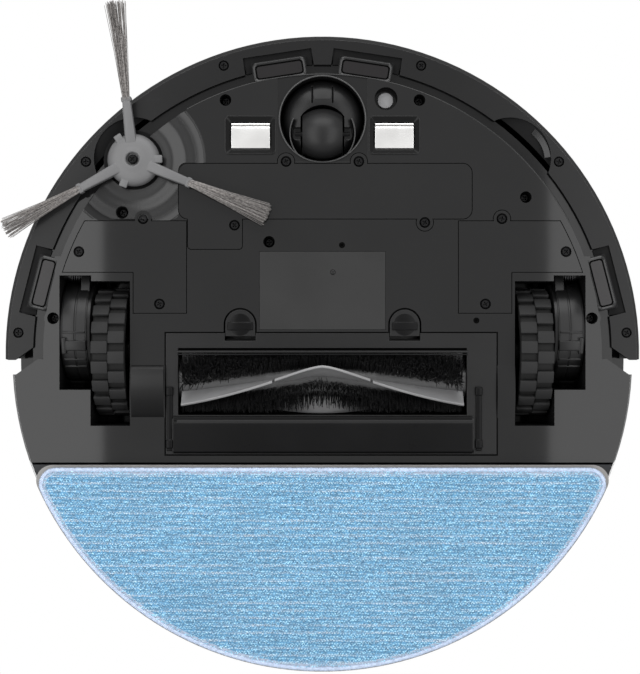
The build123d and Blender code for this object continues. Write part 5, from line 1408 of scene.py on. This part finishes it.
# Top: lid and buttons
# The lid is gloss black with a hard coat over the dust bin, hinged at its front edge. The start
# button, in its opal light ring, and the switch in the nose are grey satin, rounded by fingers.
LID_BLACK = (0.009, 0.009, 0.0095)
lid_gloss = moulded("lid_gloss", LID_BLACK, 0.16, grain=0.02, grain_size=2.0, edge=0.5, wear=0.15, scuff=0.25,
                    gloss=0.28)
finish(lid_gloss, "lid")
button_grey = moulded("button_grey", (0.235, 0.235, 0.24), 0.4, grain=0.08, edge=0.5, wear=0.3)
finish(button_grey, "start_button", "power_button")
start_low, start_high = box_of("start_button")
LIGHT_IN = 12.9
LIGHT_OUT = 14.2
LIGHT_Z = (-0.6, 0.35)
light_profile = [(LIGHT_IN, LIGHT_Z[0]), (LIGHT_IN, LIGHT_Z[1])]
light_profile += [(LIGHT_OUT, LIGHT_Z[1]), (LIGHT_OUT, LIGHT_Z[0])]
light_ring = lathe(light_profile, 72, closed=True)
start_mid = (start_low + start_high) / 2
light_place = at(start_mid.x, start_mid.y, start_high.z - 0.6)
light_grey = moulded("light_ring_opal", (0.55, 0.56, 0.58), 0.3, grain=0.05, wear=0.1)
piece("light_ring", join((light_ring, light_place)), light_grey, "body")

# Inside
# What the lid, the covers and the mouth hide: a smoked dust bin with a pleated filter, the fan, the
# motors in their steel cans, the battery, the springs, the switches, the speaker and the board.
bin_smoke = moulded("bin_smoked", (0.05, 0.051, 0.054), 0.2, grain=0.04, edge=0.5, wear=0.15, scuff=0.4)
inner_black = moulded("inner_abs", (0.03, 0.03, 0.032), 0.5, grain=0.25)
motor_steel = moulded("motor_can_steel", (0.48, 0.48, 0.49), 0.34, grain=0.1, wear=0.3, scuff=0.5, metal=1.0)
spring_steel = moulded("spring_steel", (0.025, 0.025, 0.026), 0.28, grain=0.05, wear=0.2, metal=1.0)
board_green = moulded("board_resist", (0.02, 0.11, 0.05), 0.35, grain=0.3, grain_size=1.2, wear=0.6)
finish(bin_smoke, "dust_bin")
finish(inner_black, "battery_pack", "bumper_switches", "fan_housing")
finish(motor_steel, "drive_motor_left", "drive_motor_right", "side_brush_motor", "roller_motor", "fan_motor")
finish(motor_steel, "speaker")
finish(spring_steel, "wheel_springs")


def coil(low, high, wire, turns, steps=14, sides=6):
    """A coil spring along Y that fills a box, its two ends closed."""
    middle = (low + high) / 2
    reach = min(high.x - low.x, high.z - low.z) / 2 - wire
    run = high.y - low.y - 2 * wire
    rings = []
    for step in range(turns * steps + 1):
        a = 2 * math.pi * step / steps
        out = Vector((math.cos(a), 0, math.sin(a)))
        centre = Vector((middle.x, low.y + wire + run * step / (turns * steps), middle.z)) + out * reach
        rings.append(tube_ring(centre, out, wire, sides))
    return skin(rings)


SPRING_WIRE = 0.45
SPRING_TURNS = 5
for number, (low, high) in enumerate(islands("bumper_springs")):
    spring = coil(low, high, SPRING_WIRE, SPRING_TURNS)
    spring_name = "bumper_spring_" + str(number + 1)
    spring_piece = piece(spring_name, spring, spring_steel, "body", ("bumper_springs",))
    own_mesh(spring_piece)
finish(board_green, "main_board")
finish(white_nylon, "fan_impeller")

filter_low, filter_high = box_of("dust_filter")
PLEAT = 3.2
FRAME_T = 2.0
PAPER = (0.66, 0.65, 0.6)
filter_paper = moulded("filter_paper", PAPER, 0.85, grain=0.5, grain_size=0.3, wear=0.0, scuff=0.0)
depth = filter_high.y - filter_low.y
pleat_profile = [(-PLEAT / 2, 0.2), (0, depth - 0.3), (PLEAT / 2, 0.2)]
pleat_profile += [(PLEAT / 2, 0.0), (0, depth - 0.9), (-PLEAT / 2, 0.0)]
pleat = prism(pleat_profile, 0, filter_high.z - filter_low.z - 2 * FRAME_T)
pleat_count = int((filter_high.x - filter_low.x - 2 * FRAME_T) / PLEAT)
first_x = (filter_low.x + filter_high.x) / 2 - (pleat_count - 1) * PLEAT / 2
seats = []
for number in range(pleat_count):
    seats.append((first_x + PLEAT * number, filter_low.y + 0.2, filter_low.z + FRAME_T))
turns = [0.0] * pleat_count
sizes = [1.0] * pleat_count
pleats = sew("filter_pleats", pleat, seats, turns, sizes, 0.0, 1, filter_paper)
settle(pleats, "body", ("dust_filter",))
mid = (filter_low + filter_high) / 2
size = filter_high - filter_low
bars = []
for end in (-1, 1):
    across = soft_box((size.x, size.y, FRAME_T), 0.4)
    bars.append((across, at(mid.x, mid.y, mid.z + end * (size.z - FRAME_T) / 2)))
    upright = soft_box((FRAME_T, size.y, size.z), 0.4)
    bars.append((upright, at(mid.x + end * (size.x - FRAME_T) / 2, mid.y, mid.z)))
piece("filter_frame", join(*bars), inner_black, "body")

# Floor, light and camera
# A pale floor that shows only from above, white all round, broad soft lamps in front, at both sides
# and overhead, and the camera below, looking straight up at the underside.


FLOOR_FADE = (0.35, 1.3)


def floor_material():
    """A pale matt floor with a faint grain; from below it is clear, and it fades out far away."""
    material, tree, place, shader = new_material("pale_floor")
    cloud = noise(tree, place, 3.0, 4.0)
    pale = mix_colours(tree, cloud, (0.8, 0.8, 0.8, 1), (0.84, 0.84, 0.84, 1))
    connect(tree, shader.inputs["Base Color"], pale)
    connect(tree, shader.inputs["Roughness"], spread(tree, cloud, 0.3, 0.7, 0.75, 0.85))
    clear = tree.nodes.new("ShaderNodeBsdfTransparent")
    back = tree.nodes.new("ShaderNodeNewGeometry").outputs["Backfacing"]
    away = vectors(tree, "LENGTH", place)["Value"]
    gone = sums(tree, "MAXIMUM", back, spread(tree, away, FLOOR_FADE[0], FLOOR_FADE[1], 0.0, 1.0))
    either = add_node(tree, "ShaderNodeMixShader", {0: gone, 1: shader.outputs[0], 2: clear.outputs[0]})
    output = next(node for node in tree.nodes if node.type == "OUTPUT_MATERIAL")
    tree.links.new(either.outputs[0], output.inputs["Surface"])
    return material


FLOOR_HALF = 3.0
FLOOR_Z = -0.0004
floor_corners = []
for x, y in ((-1, -1), (1, -1), (1, 1), (-1, 1)):
    floor_corners.append((x * FLOOR_HALF, y * FLOOR_HALF, FLOOR_Z))
floor_mesh = bpy.data.meshes.new("floor")
floor_mesh.from_pydata(floor_corners, [], [(0, 1, 2, 3)])
floor_mesh.materials.append(floor_material())
floor = bpy.data.objects.new("floor", floor_mesh)
scene.collection.objects.link(floor)
floor.visible_shadow = False
floor.visible_diffuse = False
floor.visible_glossy = False
floor.visible_transmission = False

SKY = 0.22
world = bpy.data.worlds.new("studio")
world.use_nodes = True
scene.world = world
sky = world.node_tree
sky.nodes.clear()
path = sky.nodes.new("ShaderNodeLightPath").outputs
mirrored = sums(sky, "MAXIMUM", path["Is Camera Ray"], path["Is Glossy Ray"])
seen = sums(sky, "MAXIMUM", mirrored, path["Is Transmission Ray"])
level = spread(sky, seen, 0.0, 1.0, SKY, 1.0)
white = add_node(sky, "ShaderNodeBackground", {"Color": (1, 1, 1, 1), "Strength": level})
sky_output = sky.nodes.new("ShaderNodeOutputWorld")
sky.links.new(white.outputs[0], sky_output.inputs["Surface"])


def soft_lamp(name, place, aim, width, height, watts):
    """A large soft box at a place in metres, facing a point."""
    data = bpy.data.lights.new(name, "AREA")
    data.shape = "RECTANGLE"
    data.size = width
    data.size_y = height
    data.energy = watts
    lamp = bpy.data.objects.new(name, data)
    lamp.location = place
    lamp.rotation_euler = (Vector(aim) - Vector(place)).to_track_quat("-Z", "Y").to_euler()
    lamp.visible_camera = False
    scene.collection.objects.link(lamp)


soft_lamp("front_box", (0.0, -0.8, -0.5), (0, 0, 0), 0.9, 0.5, 5.8)
soft_lamp("left_box", (-0.56, 0.1, -0.7), (-0.56, 0.1, 0), 0.66, 1.4, 8.6)
soft_lamp("right_box", (0.57, 0.1, -0.7), (0.57, 0.1, 0), 0.66, 1.4, 7.4)
soft_lamp("overhead_box", (-0.2, -0.3, 1.5), (0, 0, 0.05), 3.0, 3.0, 42.0)

CAMERA_PLACE = (-1.3, -9.0, -700.0)
LONG_SIDE_MM = 36.0
FOCAL_PX = 1345.0
IMAGE_HEIGHT = 674
camera_data = bpy.data.cameras.new("camera")
camera_data.sensor_width = LONG_SIDE_MM
camera_data.lens = LONG_SIDE_MM * FOCAL_PX / IMAGE_HEIGHT
camera_data.clip_start = 0.01
camera = bpy.data.objects.new("camera", camera_data)
camera.location = Vector(CAMERA_PLACE) * MM
camera.rotation_euler = (math.pi, 0, 0)
scene.collection.objects.link(camera)
scene.camera = camera
scene.view_settings.view_transform = "Standard"
